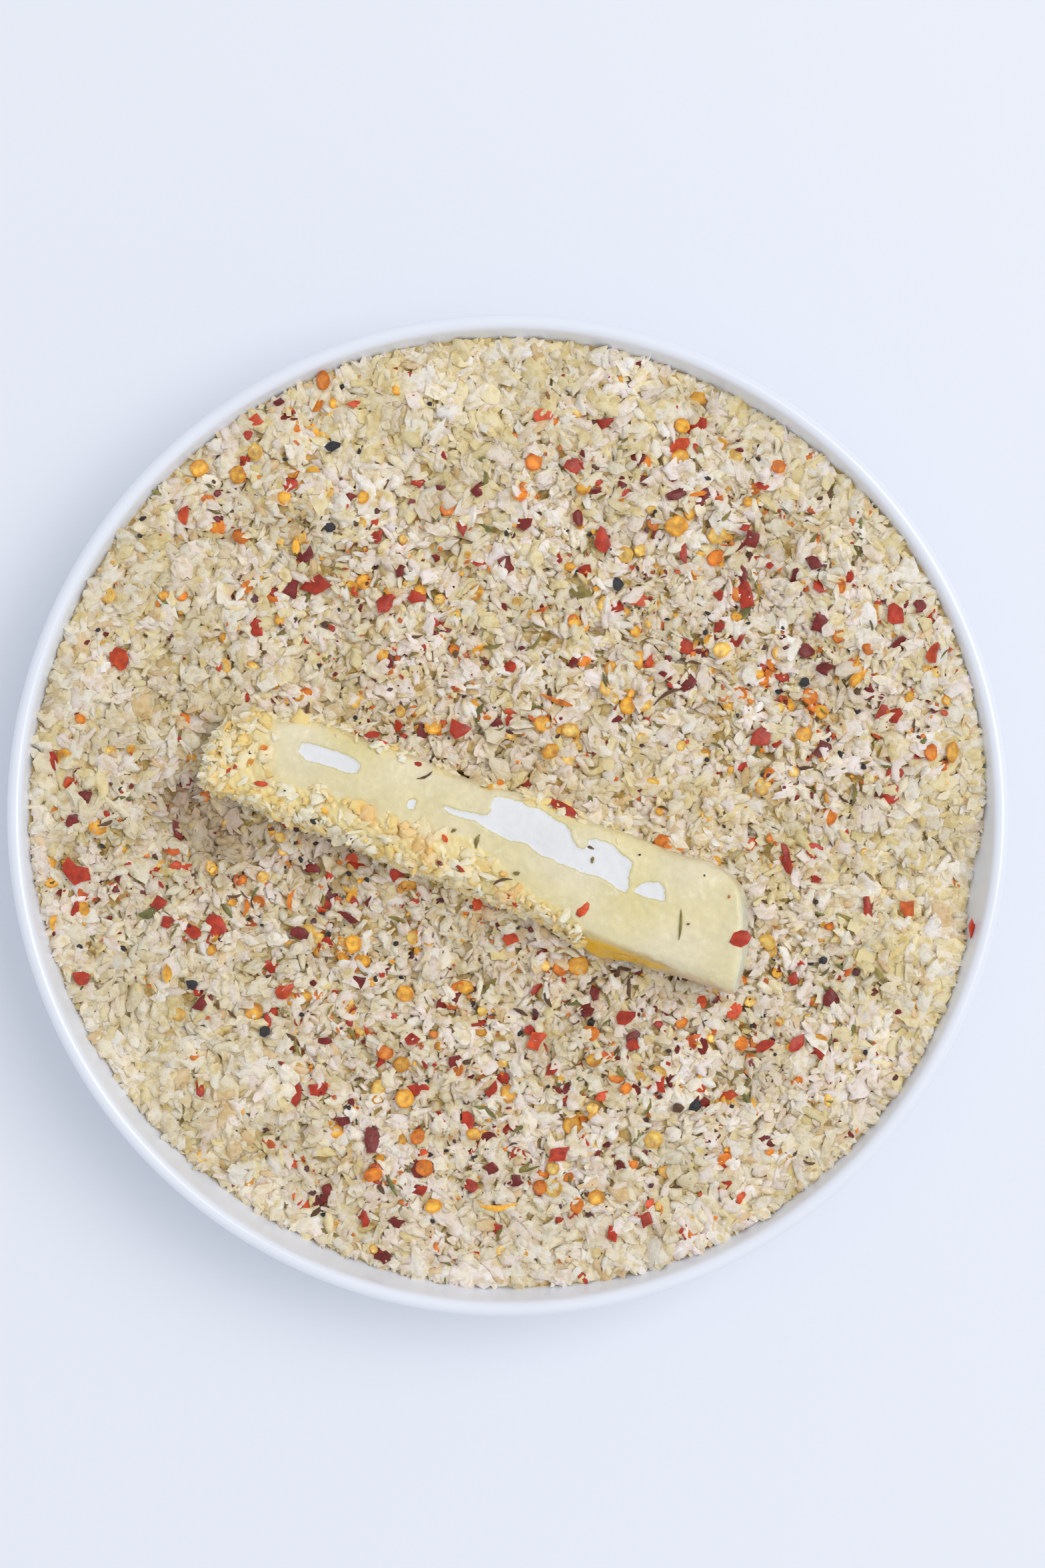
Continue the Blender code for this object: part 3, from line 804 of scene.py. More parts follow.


# Widths are shares of the length, tilts are in degrees, and the last number of each kind is a painted shade
# that darkens the kinds lying deeper
crumbKinds = {
    "panko_under": {
        "count": 3400, "seed": 20, "shape": "slab", "sides": 5, "lengthMm": (3.6, 6.0),
        "width": (0.60, 0.90), "thickMm": (0.45, 0.75), "liftMm": (-0.55, -0.20), "tilt": 8.0, "layerShade": 0.91,
    },
    "panko_flakes": {
        "count": 2900, "seed": 21, "shape": "slab", "sides": 7, "rag": 0.24, "shake": 0.4,
        "lengthMm": (3.2, 5.6), "width": (0.42, 0.68), "thickMm": (0.80, 1.25), "liftMm": (-0.50, 0.00),
        "tilt": 8.0, "layerShade": 0.955,
    },
    "panko_slivers": {
        "count": 3000, "seed": 22, "shape": "slab", "sides": 6, "rag": 0.22, "shake": 0.4,
        "lengthMm": (2.8, 4.8), "width": (0.34, 0.50), "thickMm": (0.90, 1.30), "liftMm": (-0.30, 0.15),
        "tilt": 10.0, "layerShade": 0.99,
    },
    "panko_shreds": {
        "count": 1300, "seed": 26, "shape": "slab", "sides": 6, "rag": 0.18, "shake": 0.4,
        "lengthMm": (3.2, 6.0), "width": (0.26, 0.40), "thickMm": (1.00, 1.50), "liftMm": (-0.20, 0.30),
        "tilt": 11.0, "layerShade": 1.0,
    },
    "panko_fluff": {
        "count": 2300, "seed": 27, "shape": "fluff", "lengthMm": (2.6, 5.8), "sharpAngle": 70.0,
        "width": (0.42, 0.78), "thickMm": (1.3, 2.2), "liftMm": (-0.35, 0.25), "tilt": 15.0, "layerShade": 1.01,
    },
    "panko_tufts": {
        "count": 2350, "seed": 28, "shape": "fluff", "lengthMm": (2.8, 5.8), "sharpAngle": 70.0,
        "width": (0.28, 0.44), "thickMm": (0.9, 1.5), "liftMm": (-0.10, 0.35), "tilt": 14.0, "layerShade": 1.0,
    },
    "panko_chunks": {
        "count": 2000, "seed": 25, "shape": "icosahedron", "lengthMm": (2.2, 4.6), "shake": 0.32,
        "width": (0.48, 0.80), "thickMm": (1.3, 2.0), "liftMm": (-0.35, 0.25), "tilt": 18.0, "layerShade": 1.0,
    },
    "panko_bits": {
        "count": 1800, "seed": 23, "shape": "octahedron", "lengthMm": (1.5, 2.8), "width": (0.50, 0.85),
        "thickMm": (0.80, 1.15), "liftMm": (-0.10, 0.30), "tilt": 16.0, "layerShade": 1.0,
    },
    "panko_fines": {
        "count": 900, "seed": 24, "shape": "octahedron", "lengthMm": (0.9, 1.6), "width": (0.50, 0.95),
        "thickMm": (0.50, 0.80), "liftMm": (-0.05, 0.35), "tilt": 25.0, "layerShade": 1.0,
    },
}

crumbSpread = {
    "shake": 0.7,                      # of the step from crumb to crumb
    "edgeGrowth": 0.12,
    "edgeFrom": (0.55, 0.95),
    "spicyShrink": 0.15,
    "spicyFrom": 0.7,
    "belowRimMm": 1.2,
    "wallRoom": 0.42,                  # of a crumb's length
    "intoCheeseMm": 0.4,
    "rollShare": 1.2,
    "layerShadePowers": (1.0, 1.5, 3.6),      # painted shade: what lies deeper is darker and tanner
    "sharpAngle": 62.0,
}
crumbColours = {
    "ivory": (246, 237, 218),
    "cream": (245, 232, 202),
    "straw": (243, 226, 178),
    "blush": (244, 229, 212),
    "toast": (234, 206, 162),
    # painted shade beside the cheese
    "castShade": (172, 144, 108),
}
crumbTinting = {
    "shares": {"ivory": 0.26, "cream": 0.34, "straw": 0.34, "blush": 0.02, "toast": 0.03},
    "strawLoss": 0.28,                 # where the seasoning is thick there is less straw and more blush
    "strawLeft": 0.30,
    "strawRight": 0.85,
    "blushGain": 0.42,
    "base": 0.99,
    "smallCloudMm": 9.0,
    "smallCloud": 0.080,
    "wideCloudMm": 22.0,
    "wideCloud": 0.085,
    "leftShade": 0.06,
    "darkest": 0.6,
    "cloudPowers": (0.85, 1.0, 1.7),
    "ownShade": (0.92, 1.05),
}


def spread(count, draws):
    # an even sunflower spread over the bed, shaken
    index = np.arange(count) + 0.5
    reach = bowlShape["rimRadius"] - bowlShape["lipWidth"]
    shake = crumbSpread["shake"] * reach * math.sqrt(math.pi / count)
    radius = reach * np.sqrt(index / count)
    angle = goldenAngle * index
    x = radius * np.cos(angle) + draws.normal(0.0, 1.0, count) * shake
    y = radius * np.sin(angle) + draws.normal(0.0, 1.0, count) * shake
    return x, y


def keptInBowl(x, y, z, reach):
    # moves what would cross the wall inwards
    shrink = np.minimum(1.0, (wallRadiusAt(z, 0.0001) - reach) / np.maximum(np.hypot(x, y), 1e-6))
    return x * shrink, y * shrink


def crumbTints(x, y, draws):
    t = crumbTinting
    spice = spiceAt(x, y)
    straw, blush = t["shares"]["straw"], t["shares"]["blush"]
    toTheRight = t["strawLeft"] + t["strawRight"] * smoothStep(-0.07, 0.05, x + y)
    shares = {name: np.full(len(x), share) for name, share in t["shares"].items()}
    shares["straw"] = np.clip(straw - t["strawLoss"] * spice, 0.04, 1.0) * toTheRight
    shares["blush"] = np.clip(blush + t["blushGain"] * spice, 0.0, 0.45)
    weights = np.stack(list(shares.values()), 1)
    weights = np.cumsum(weights / weights.sum(1, keepdims=True), 1)
    pick = (draws.uniform(size=(len(x), 1)) > weights).sum(1).clip(0, len(shares) - 1)
    palette = linear([crumbColours[name] for name in shares])
    # painted shade beside the cheese: the crumbs there are darkened towards this brown
    castShade = 1.0 - linear(crumbColours["castShade"]) / linear(crumbColours["cream"])
    castShade = strongestAt(shadeAndDipSpots, x, y)[:, None] * castShade
    spots = np.stack([x, y], -1)
    cloud = t["base"] + t["smallCloud"] * ripple(spots, t["smallCloudMm"] * mm, 92)
    cloud += t["wideCloud"] * ripple(spots, t["wideCloudMm"] * mm, 93)
    cloud -= t["leftShade"] * smoothStep(-0.02, -0.07, x)
    cloud = np.maximum(cloud, t["darkest"])[:, None] ** np.array(t["cloudPowers"])
    return palette[pick] * (1.0 - castShade) * cloud * draws.uniform(*t["ownShade"], (len(x), 1))


def makeCrumbs(name, material):
    kind, c = crumbKinds[name], crumbSpread
    draws = np.random.default_rng(kind["seed"])
    count = kind["count"]
    x, y = spread(count, draws)
    length, width, thick, lift = drawnSizes(kind, count, draws)
    growth = 1.0 + c["edgeGrowth"] * smoothStep(*c["edgeFrom"], np.hypot(x, y) / bowlShape["rimRadius"])
    growth -= c["spicyShrink"] * (spiceAt(x, y) > c["spicyFrom"])
    length, width = length * growth, width * growth
    highest = bowlShape["rimHeight"] - c["belowRimMm"] * mm
    z = np.minimum(bedTop(x, y) + lift, highest)
    x, y = keptInBowl(x, y, z + 0.0004, c["wallRoom"] * length)
    places = np.stack([x, y, np.minimum(bedTop(x, y) + lift, highest)], 1)
    keep = ~insideStick(places, -c["intoCheeseMm"] * mm)
    corners, faces = shaped(kind, np.stack([length, width, thick], 1) / 2.0, draws)
    yaw = draws.uniform(0.0, math.tau, count)
    pitch = draws.normal(0.0, math.radians(kind["tilt"]), count)
    roll = draws.normal(0.0, math.radians(kind["tilt"] * c["rollShare"]), count)
    turns = spins(yaw, pitch, roll)[keep]
    # painted shade by layer: kinds that lie deeper are darker and tanner
    tints = crumbTints(x, y, draws)[keep] * kind["layerShade"] ** np.array(c["layerShadePowers"])
    sharpAngle = kind.get("sharpAngle", c["sharpAngle"])
    scattered(name, "crumb_bed", corners[keep], faces, places[keep], turns, tints, material, sharpAngle)


# The cheese: washed in egg, with floury places where the egg ran off, and crumbs on one end and the front

stickSkin = {
    "stations": 250,
    "topSteps": 56,
    "sideSteps": 20,
    "bottomSteps": 12,
    "corner": 0.8706,
    "leftCap": ((-0.0530, 0.06), (-0.0530, 0.3), (-0.05295, 0.5), (-0.0528, 0.62), (-0.0525, 0.74),
                (-0.0520, 0.84), (-0.0514, 0.90), (-0.0508, 0.95), (-0.0504, 0.98)),
    "rightCap": ((0.0496, 0.975), (0.04985, 0.94), (0.0500, 0.90), (0.0500, 0.75), (0.0500, 0.5),
                 (0.0500, 0.25), (0.0500, 0.06)),
    "lumpMm": 0.13,
    "lumpSizeMm": 6.0,
    "dimpleMm": 0.05,
    "dimpleSizeMm": 1.8,
    "crustMm": 0.34,
    "crustSizeMm": 1.7,
    "patchDropMm": 0.24,
    "patchLipMm": 0.10,
    "farMm": 20.0,                     # how far off a floury place counts as
    "paleShare": 0.55,
    "paleCloud": 0.5,
    "paleCloudMm": 14.0,
    "eggShare": 0.8,
    "goldFrayMm": 1.8,
    "goldFrom": 862.0,                 # pixels across the photograph
    "pinkFrom": 1000.0,
}
stickColours = {
    "film": (229, 214, 158),
    "palerFilm": (236, 223, 187),
    "eggYellow": (249, 226, 156),
    "endPale": (230, 232, 210),
    "dab": (240, 233, 204),
    "flour": (238, 237, 237),
    "patchEdge": (203, 190, 124),
    "eggGold": (244, 190, 36),
    # painted shade on the front side, below the edge of the film
    "frontShade": (212, 188, 132),
    "pinkish": (228, 204, 166),
}
washLook = {
    "gloss": 0.3,
    "flourMatt": 0.85,
    "coat": 0.25,
    "cloudMm": 3.5,
    "fleckMm": 1.1,
    "dabMm": 1.7,
    "frayMm": 0.55,
    "grainMm": 1.6,
    "reliefMm": ((3.2, 2.0, 0.30), (1.2, 3.0, 0.12), (0.35, 2.0, 0.012)),        # size, detail and depth
}

# Floury places and edges of the film in pixels of the photograph; goldReach is pixels across and mm down
flourPatches = (
    ((447, 1127), (453, 1114), (464, 1115), (486, 1121), (519, 1132), (534, 1140), (541, 1148), (539, 1154),
     (534, 1160), (521, 1159), (508, 1155), (497, 1150), (480, 1145), (460, 1141), (453, 1134)),
    ((613, 1200), (623, 1198), (625, 1202), (621, 1214), (613, 1214), (611, 1207)),
    ((664, 1209), (675, 1211), (688, 1216), (707, 1219), (724, 1223), (732, 1222), (737, 1216), (736, 1206),
     (741, 1196), (753, 1196), (768, 1199), (784, 1204), (793, 1211), (807, 1212), (822, 1221), (835, 1231),
     (847, 1236), (856, 1246), (859, 1260), (868, 1272), (877, 1274), (882, 1268), (884, 1260), (893, 1259),
     (910, 1264), (921, 1269), (934, 1283), (949, 1294), (946, 1304), (943, 1315), (943, 1332), (938, 1339),
     (927, 1334), (916, 1325), (903, 1317), (888, 1312), (871, 1308), (860, 1302), (837, 1294), (826, 1287),
     (812, 1283), (801, 1275), (791, 1266), (778, 1262), (764, 1261), (751, 1255), (745, 1250), (732, 1245),
     (722, 1237), (713, 1231), (698, 1228), (680, 1222), (671, 1218)),
    ((952, 1333), (960, 1327), (971, 1323), (990, 1324), (996, 1331), (998, 1351), (990, 1351), (979, 1348),
     (962, 1344), (953, 1339)),
)
filmFront = ((371, 1170), (442, 1178), (475, 1190), (523, 1202), (570, 1224), (614, 1240), (660, 1248),
             (705, 1262), (735, 1288), (765, 1318), (810, 1350), (856, 1380), (878, 1396))
filmEdge = ((868, 1393), (917, 1411), (967, 1430), (1009, 1452), (1105, 1488), (1125, 1496))
goldReach = ((858, 1.0), (872, 6.5), (888, 10.5), (925, 10.5), (955, 8.5), (985, 6.5), (1008, 3.0),
             (1020, 0.0))
goldEdge = ((868, 1401), (878, 1404), (917, 1419), (967, 1438), (1005, 1454))
eggSpots = (((632, 1275), 20), ((757, 1303), 20), ((768, 1338), 18), ((606, 1252), 10), ((549, 1220), 9))


def onStickTop(pixels):
    # the place along and across the top of the cheese under these pixels
    height = np.full(len(pixels), stickCentre[2] + stickShape["thickness"] / 2.0)
    for _ in range(3):
        x, y = atPixel(pixels, height)
        local = toStick(np.stack([x, y, height], -1))
        height = height + (stickShape["thickness"] / 2.0 - local[:, 2]) / math.cos(stickShape["pitch"])
    return local[:, :2]


def outlineDistance(points, outline):
    # how far each point is outside a closed outline; negative inside
    nearest = np.full(len(points), 1.0)
    inside = np.zeros(len(points), bool)
    for start, end in zip(outline, np.roll(outline, -1, 0)):
        way = end - start
        share = np.clip(((points - start) @ way) / (way @ way), 0.0, 1.0)
        nearest = np.minimum(nearest, np.hypot(*(points - start - share[:, None] * way).T))
        crosses = (start[1] > points[:, 1]) != (end[1] > points[:, 1])
        reach = way[0] * (points[:, 1] - start[1]) / np.where(way[1] == 0.0, 1e-9, way[1]) + start[0]
        inside ^= crosses & (points[:, 0] < reach)
    return np.where(inside, -nearest, nearest)


def stickPoint(along, across, up, scale=1.0):
    # across and up run from -1 to 1 over the squared-off section
    s = stickShape
    back, front = stickSides(along)
    middle = (back + front) / 2.0
    halfHeight = s["thickness"] / 2.0
    power = s["squareness"] / 2.0
    angle = np.arctan2(np.sign(up) * np.abs(up) ** power, np.sign(across) * np.abs(across) ** power)
    turnsA, turnsB = s["waveTurns"]
    wave = s["wave"] * (np.sin(along * turnsA + 2.0 * angle) + np.sin(along * turnsB - angle)) * scale
    z = up * (halfHeight * scale + wave)
    lean = leanAt(along) * np.minimum(across, 0.0) * (halfHeight - z)
    lean = lean * np.minimum(1.0, scale / s["leanFade"])
    y = across * ((back - front) / 2.0 * scale + wave) + middle + lean
    into = np.clip((y - back) / s["cornerRadius"] + 1.0, 0.0, 1.0)
    wide = np.clip((y - middle) / (back - front) * 2.0, -1.0, 1.0)
    corner = s["cornerRadius"] * (1.0 - np.sqrt(1.0 - into * into))
    bulge = s["endBulge"] * (2.0 * wide * wide - 1.0)
    slant = endSlant(along, y - middle, z) + endEase(along) ** 4 * (corner + bulge)
    slant = slant - smoothStep(*s["leftCornerFade"], along) * leftCorner(back, y)
    return np.stack([along - slant, y, z], -1)


def sectionSteps():
    # points around the section: over the top, down the front, along the bottom and up the back
    k = stickSkin
    corner = k["corner"]
    power = stickShape["squareness"]
    top = np.linspace(corner, -corner, k["topSteps"], endpoint=False)
    side = np.linspace(corner, -corner, k["sideSteps"], endpoint=False)
    bottom = np.linspace(-corner, corner, k["bottomSteps"], endpoint=False)
    full = [(1.0 - np.abs(v) ** power) ** (1.0 / power) for v in (top, side, bottom, -side)]
    across = np.concatenate([top, -full[1], bottom, full[3]])
    up = np.concatenate([full[0], side, -full[2], -side])
    return across, up


def filmFrontAt(along):
    line = onStickTop(np.array(filmFront, float))
    return np.interp(along, line[:, 0], line[:, 1])


def crumbedShare(local):
    # how thickly the crumbs cover the cheese here
    along, across, up = local.T
    back = stickSides(along)[0]
    ragged = 0.0008 * ripple(local[:, :2], 0.004, 51)
    last = onStickTop(np.array([filmFront[-1]], float))[0, 0]
    share = 1.0 - smoothStep(-0.0006, 0.0009, across - filmFrontAt(along) + ragged)
    share *= 1.0 - smoothStep(last - 0.001, last + 0.002, along)
    end = 1.0 - smoothStep(-0.0465, -0.0400, along + ragged + 0.25 * across)
    aboveBed = up > -0.4 * stickShape["thickness"]
    patchy = (ripple(local[:, :1], 0.012, 52) > -0.35) * (along < 0.024) * aboveBed
    edge = smoothStep(back - 0.0018, back - 0.0002, across + ragged) * patchy * 0.65
    return np.maximum.reduce([share, end, edge])


def cheeseMaterial():
    # egg film with clouds and dabs, darker at the edge of each floury place
    w = washLook
    wash = {"IOR": 1.42, "Coat_Weight": w["coat"], "Coat_Roughness": 0.15}
    material, shader = newMaterial("eggWashedCheese", w["gloss"], **wash)
    distance = addNode(material, "ShaderNodeAttribute", attribute_name="patchMm").outputs["Fac"]
    fray = ranged(material, noiseOf(material, w["frayMm"], 3.0), 0.25, 0.75, -0.16, 0.16)
    distance = addNode(material, "ShaderNodeMath", {0: distance, 1: fray}, operation="ADD").outputs[0]
    cloud = ranged(material, noiseOf(material, w["cloudMm"], 3.0), 0.32, 0.68, 0.965, 1.045)
    fleck = ranged(material, noiseOf(material, w["fleckMm"], 3.0), 0.35, 0.66, 0.97, 1.04)
    film = multiplied(material, multiplied(material, tintOf(material), cloud), fleck)
    dab = ranged(material, noiseOf(material, w["dabMm"]), 0.60, 0.72, 0.0, 0.5)
    film = mixed(material, dab, film, linear(stickColours["dab"]))
    # the darker rim by each floury place: partly egg gathered at its edge, partly painted shade of the step
    # down into it
    rim = ranged(material, distance, 0.34, 0.10, 0.0, 0.6)
    film = mixed(material, rim, film, linear(stickColours["patchEdge"]))
    grain = ranged(material, noiseOf(material, w["grainMm"], 3.0), 0.3, 0.7, 0.97, 1.01)
    flour = multiplied(material, linear(stickColours["flour"]), grain)
    floury = ranged(material, distance, 0.05, -0.05)
    roughness = ranged(material, floury, 0.0, 1.0, w["gloss"], w["flourMatt"])
    coat = ranged(material, floury, 0.0, 1.0, w["coat"], 0.0)
    colour = mixed(material, floury, film, flour)
    feed(material, shader, Base_Color=colour, Roughness=roughness, Coat_Weight=coat)
    relief = [(noiseOf(material, size, detail), depth) for size, detail, depth in w["reliefMm"]]
    bumped(material, shader, *relief)
    return material


def skinMesh():
    # rings around the cheese from its left end to its right, with a middle at each end
    k = stickSkin
    across, up = sectionSteps()
    run = np.linspace(stickShape["alongMm"][0] * mm, stickShape["alongMm"][-1] * mm, k["stations"])
    rings = [*k["leftCap"], *((along, 1.0) for along in run), *k["rightCap"]]
    points = [stickPoint(np.full(len(across), along), across, up, scale) for along, scale in rings]
    local = np.concatenate([[points[0].mean(0)], *points, [points[-1].mean(0)]])
    return local, webFaces(len(across), len(rings))[:, ::-1]


def cornerNormals(points, faces):
    first, second, third = (points[faces[:, corner]] for corner in range(3))
    away = np.cross(second - first, third - first)
    normals = np.zeros_like(points)
    for corner in range(3):
        np.add.at(normals, faces[:, corner], away)
    return normals / np.linalg.norm(normals, axis=1, keepdims=True)


def flourDistance(local, normals):
    # how many mm each corner is outside the nearest floury place on top
    outlines = [onStickTop(np.array(outline, float)) for outline in flourPatches]
    nearest = np.minimum.reduce([outlineDistance(local[:, :2], outline) for outline in outlines]) / mm
    return np.where(normals[:, 2] > 0.5, np.minimum(nearest, stickSkin["farMm"]), stickSkin["farMm"])


def eggTints(local, normals, crumbed):
    # the film's own colour, then what lies over it in turn, and painted shade on its front side
    k = stickSkin
    tints = np.broadcast_to(linear(stickColours["film"]), local.shape)
    pixelX, pixelY = pixelsOf(fromStick(local))
    below, under = (pixelY - np.interp(pixelX, *np.array(edge, float).T) for edge in (filmEdge, goldEdge))
    depth = stickShape["thickness"] / 2.0 - local[:, 2]
    reach = np.interp(pixelX, *np.array(goldReach, float).T) * mm
    ragged = k["goldFrayMm"] * mm * ripple(local, 0.005, 45)
    onFront = smoothStep(-0.5, 1.5, below) * smoothStep(-0.05, -0.30, normals[:, 1]) * (normals[:, 0] < 0.5)
    onFront *= smoothStep(k["goldFrom"], k["goldFrom"] + 10.0, pixelX)
    gold = smoothStep(-0.5, 2.0, under) * (1.0 - smoothStep(-0.0024, 0.0016, depth - reach + ragged))
    layers = (
        ("palerFilm", k["paleShare"] + k["paleCloud"] * ripple(local, k["paleCloudMm"] * mm, 44)),
        ("eggYellow", k["eggShare"] * crumbed),
        # painted shade on the front side below the film's edge
        ("frontShade", onFront),
        ("eggGold", onFront * gold),
        ("pinkish", onFront * smoothStep(k["pinkFrom"], k["pinkFrom"] + 20.0, pixelX)),
        ("endPale", smoothStep(0.55, 0.95, normals[:, 0]) * (local[:, 0] > 0.0)),
    )
    for colour, share in layers:
        share = np.clip(share, 0.0, 1.0)[:, None]
        tints = tints * (1.0 - share) + linear(stickColours[colour]) * share
    return tints


def makeCheese(material):
    k = stickSkin
    local, faces = skinMesh()
    normals = cornerNormals(local, faces)
    distance = flourDistance(local, normals)
    crumbed = crumbedShare(local)
    lift = k["lumpMm"] * ripple(local, k["lumpSizeMm"] * mm, 41)
    lift += k["dimpleMm"] * ripple(local, k["dimpleSizeMm"] * mm, 42)
    lift -= k["patchDropMm"] * (1.0 - smoothStep(-0.35, 0.15, distance))
    lift += k["patchLipMm"] * np.exp(-(((distance - 0.45) / 0.35) ** 2))
    lift += k["crustMm"] * crumbed * ripple(local, k["crustSizeMm"] * mm, 43)
    points = fromStick(local + normals * lift[:, None] * mm)
    tints = eggTints(local, normals, crumbed)
    cheese = newObject("cheese_stick_washed", points, faces, material, tints=tints)
    patch = cheese.data.attributes.new("patchMm", "FLOAT", "POINT")
    patch.data.foreach_set("value", distance.astype(np.float32))
    standsFor("cheese_stick", cheese)


coatKinds = {
    "coat_shreds": {
        "count": 480, "seed": 61, "shape": "slab", "sides": 6, "rag": 0.24, "curl": 0.4, "shake": 0.4,
        "lengthMm": (2.0, 4.8), "width": (0.26, 0.42), "thickMm": (0.60, 1.00), "liftMm": (0.10, 0.85),
        "tilt": 0.50, "endTilt": 0.75, "topShare": 0.30, "filmed": 0.0, "standing": 0.50,
        "colours": {"white": 0.45, "cream": 0.40, "straw": 0.15},
    },
    "coat_lumps": {
        "count": 560, "seed": 63, "shape": "fluff", "lengthMm": (1.8, 4.6), "width": (0.52, 0.85),
        "thickMm": (0.90, 1.60), "liftMm": (-0.10, 0.40), "tilt": 0.42, "endTilt": 0.65, "topShare": 0.45,
        "filmed": 0.0, "standing": 0.30, "colours": {"white": 0.35, "cream": 0.42, "straw": 0.23},
    },
    "coat_bits": {
        "count": 380, "seed": 62, "shape": "octahedron", "lengthMm": (0.8, 1.8), "width": (0.50, 0.90),
        "thickMm": (0.50, 0.85), "liftMm": (-0.10, 0.15), "tilt": 0.35, "endTilt": 0.55, "topShare": 1.0,
        "filmed": 0.40, "standing": 0.1, "colours": {"white": 0.30, "cream": 0.45, "straw": 0.25},
    },
}
coatColours = {
    "white": (254, 246, 217),
    "cream": (254, 237, 192),
    "straw": (253, 224, 150),
    "eggy": (252, 196, 106),
    "filmed": (247, 228, 164),
    "hollow": (0.97, 0.87, 0.62),      # painted shade that multiplies the tint in a crumb's hollows
}
# Places over the crumbed end, the top and the sides of the cheese
coatPlaces = {
    "along": (-0.0530, 0.036),
    "topTries": 0.56,                  # shares of the tries that land on top, and on top or in front
    "frontTries": 0.86,
    "endTries": 0.14,
    "triesPerCrumb": 6,
    "topAcross": 0.97,
    "sideUp": (-0.55, 0.95),
    "topFrom": (0.0040, 0.0065),
    "lowest": -0.0045,
    "endTo": -0.0475,
    "facingUp": 0.5,
    "filmFrom": (0.0035, 0.0065),
    "eggShare": 0.7,
    "ownShade": (0.94, 1.02),
    "lengthPower": 1.5,
    "sharpAngle": 90.0,
}


def aimed(normals, yaw):
    # rotation matrices whose third column is the normal
    side = np.cross(normals, np.array([0.31, 0.17, 0.93]))
    side /= np.linalg.norm(side, axis=1, keepdims=True)
    other = np.cross(normals, side)
    length = side * np.cos(yaw)[:, None] + other * np.sin(yaw)[:, None]
    return np.stack([length, np.cross(normals, length), normals], -1)


def coatSpots(coat, draws):
    # where the crumbs sit, which way is out there, and whether it is on the coated end
    c = coatPlaces
    tries = coat["count"] * c["triesPerCrumb"]
    power = stickShape["squareness"]
    along = draws.uniform(*c["along"], tries)
    turn = draws.uniform(0.0, 1.0, tries)
    onTop = turn < c["topTries"]
    across = np.where(onTop, draws.uniform(-c["topAcross"], c["topAcross"], tries), -1.0)
    overTop = (1.0 - np.abs(across) ** power) ** (1.0 / power)
    up = np.where(onTop, overTop, draws.uniform(*c["sideUp"], tries))
    side = np.where(turn < c["frontTries"], -1.0, 1.0)
    across = np.where(onTop, across, side * (1.0 - np.abs(up) ** power) ** (1.0 / power))
    end = draws.uniform(size=tries) < c["endTries"]
    caps = np.array(stickSkin["leftCap"])
    reach = np.sqrt(draws.uniform(0.05, 1.0, tries))
    scale = np.where(end, reach, 1.0)
    along = np.where(end, np.interp(reach, caps[:, 1], caps[:, 0]), along)
    local = stickPoint(along, across, up, scale)
    facing = [np.sign(v) * np.abs(v) ** (power - 1.0) for v in (across, up)]
    normals = np.stack([np.zeros(tries), *facing], -1)
    normals /= np.linalg.norm(normals, axis=1, keepdims=True)
    ahead = np.array([-1.0, 0.0, 0.25])
    normals[end] = normals[end] * scale[end, None] ** 2 + ahead * (1.1 - scale[end, None] ** 3)
    onTop = smoothStep(*c["topFrom"], local[:, 2]) * (local[:, 0] > -0.0500)
    share = np.maximum(crumbedShare(local), end) * (1.0 - onTop * (1.0 - coat["topShare"]))
    keep = draws.uniform(size=tries) < share
    keep = np.flatnonzero(keep & (local[:, 2] > c["lowest"]))[:coat["count"]]
    return local[keep], normals[keep], end[keep] | (local[keep, 0] < c["endTo"])


def coatTints(coat, local, draws):
    c = coatPlaces
    names = draws.choice(list(coat["colours"]), len(local), p=list(coat["colours"].values()))
    tints = linear([coatColours[name] for name in names])
    layers = [("filmed", coat["filmed"] * smoothStep(*c["filmFrom"], local[:, 2]))]
    for pixel, reach in eggSpots:
        away = np.hypot(*(local[:, :2] - onStickTop(np.array([pixel], float))[0]).T) / (reach * pixelSize)
        layers.append(("eggy", c["eggShare"] * np.exp(-(away**4))))
    for colour, share in layers:
        tints = tints * (1.0 - share[:, None]) + linear(coatColours[colour]) * share[:, None]
    return tints * draws.uniform(*c["ownShade"], (len(local), 1))


def makeCoat(name, material):
    coat, c = coatKinds[name], coatPlaces
    draws = np.random.default_rng(coat["seed"])
    local, normals, end = coatSpots(coat, draws)
    count = len(local)
    normals[:, 2] += c["facingUp"] * (~end) * (normals[:, 2] < c["facingUp"])
    normals += draws.normal(size=(count, 3)) * np.where(end, coat["endTilt"], coat["tilt"])[:, None]
    normals /= np.linalg.norm(normals, axis=1, keepdims=True)
    length, width, thick, lift = drawnSizes(coat, count, draws, c["lengthPower"])
    corners, faces = shaped(coat, np.stack([length, width, thick], 1) / 2.0, draws)
    tints = coatTints(coat, local, draws)
    turns = aimed(normals, draws.uniform(0.0, math.tau, count))
    standing = end & (draws.uniform(size=count) < coat["standing"])
    turns[standing] = np.roll(turns[standing], 1, axis=2)
    turns = stickSpin @ turns
    places = fromStick(local + normals * lift[:, None])
    scattered(name, "cheese_stick", corners, faces, places, turns, tints, material, c["sharpAngle"])


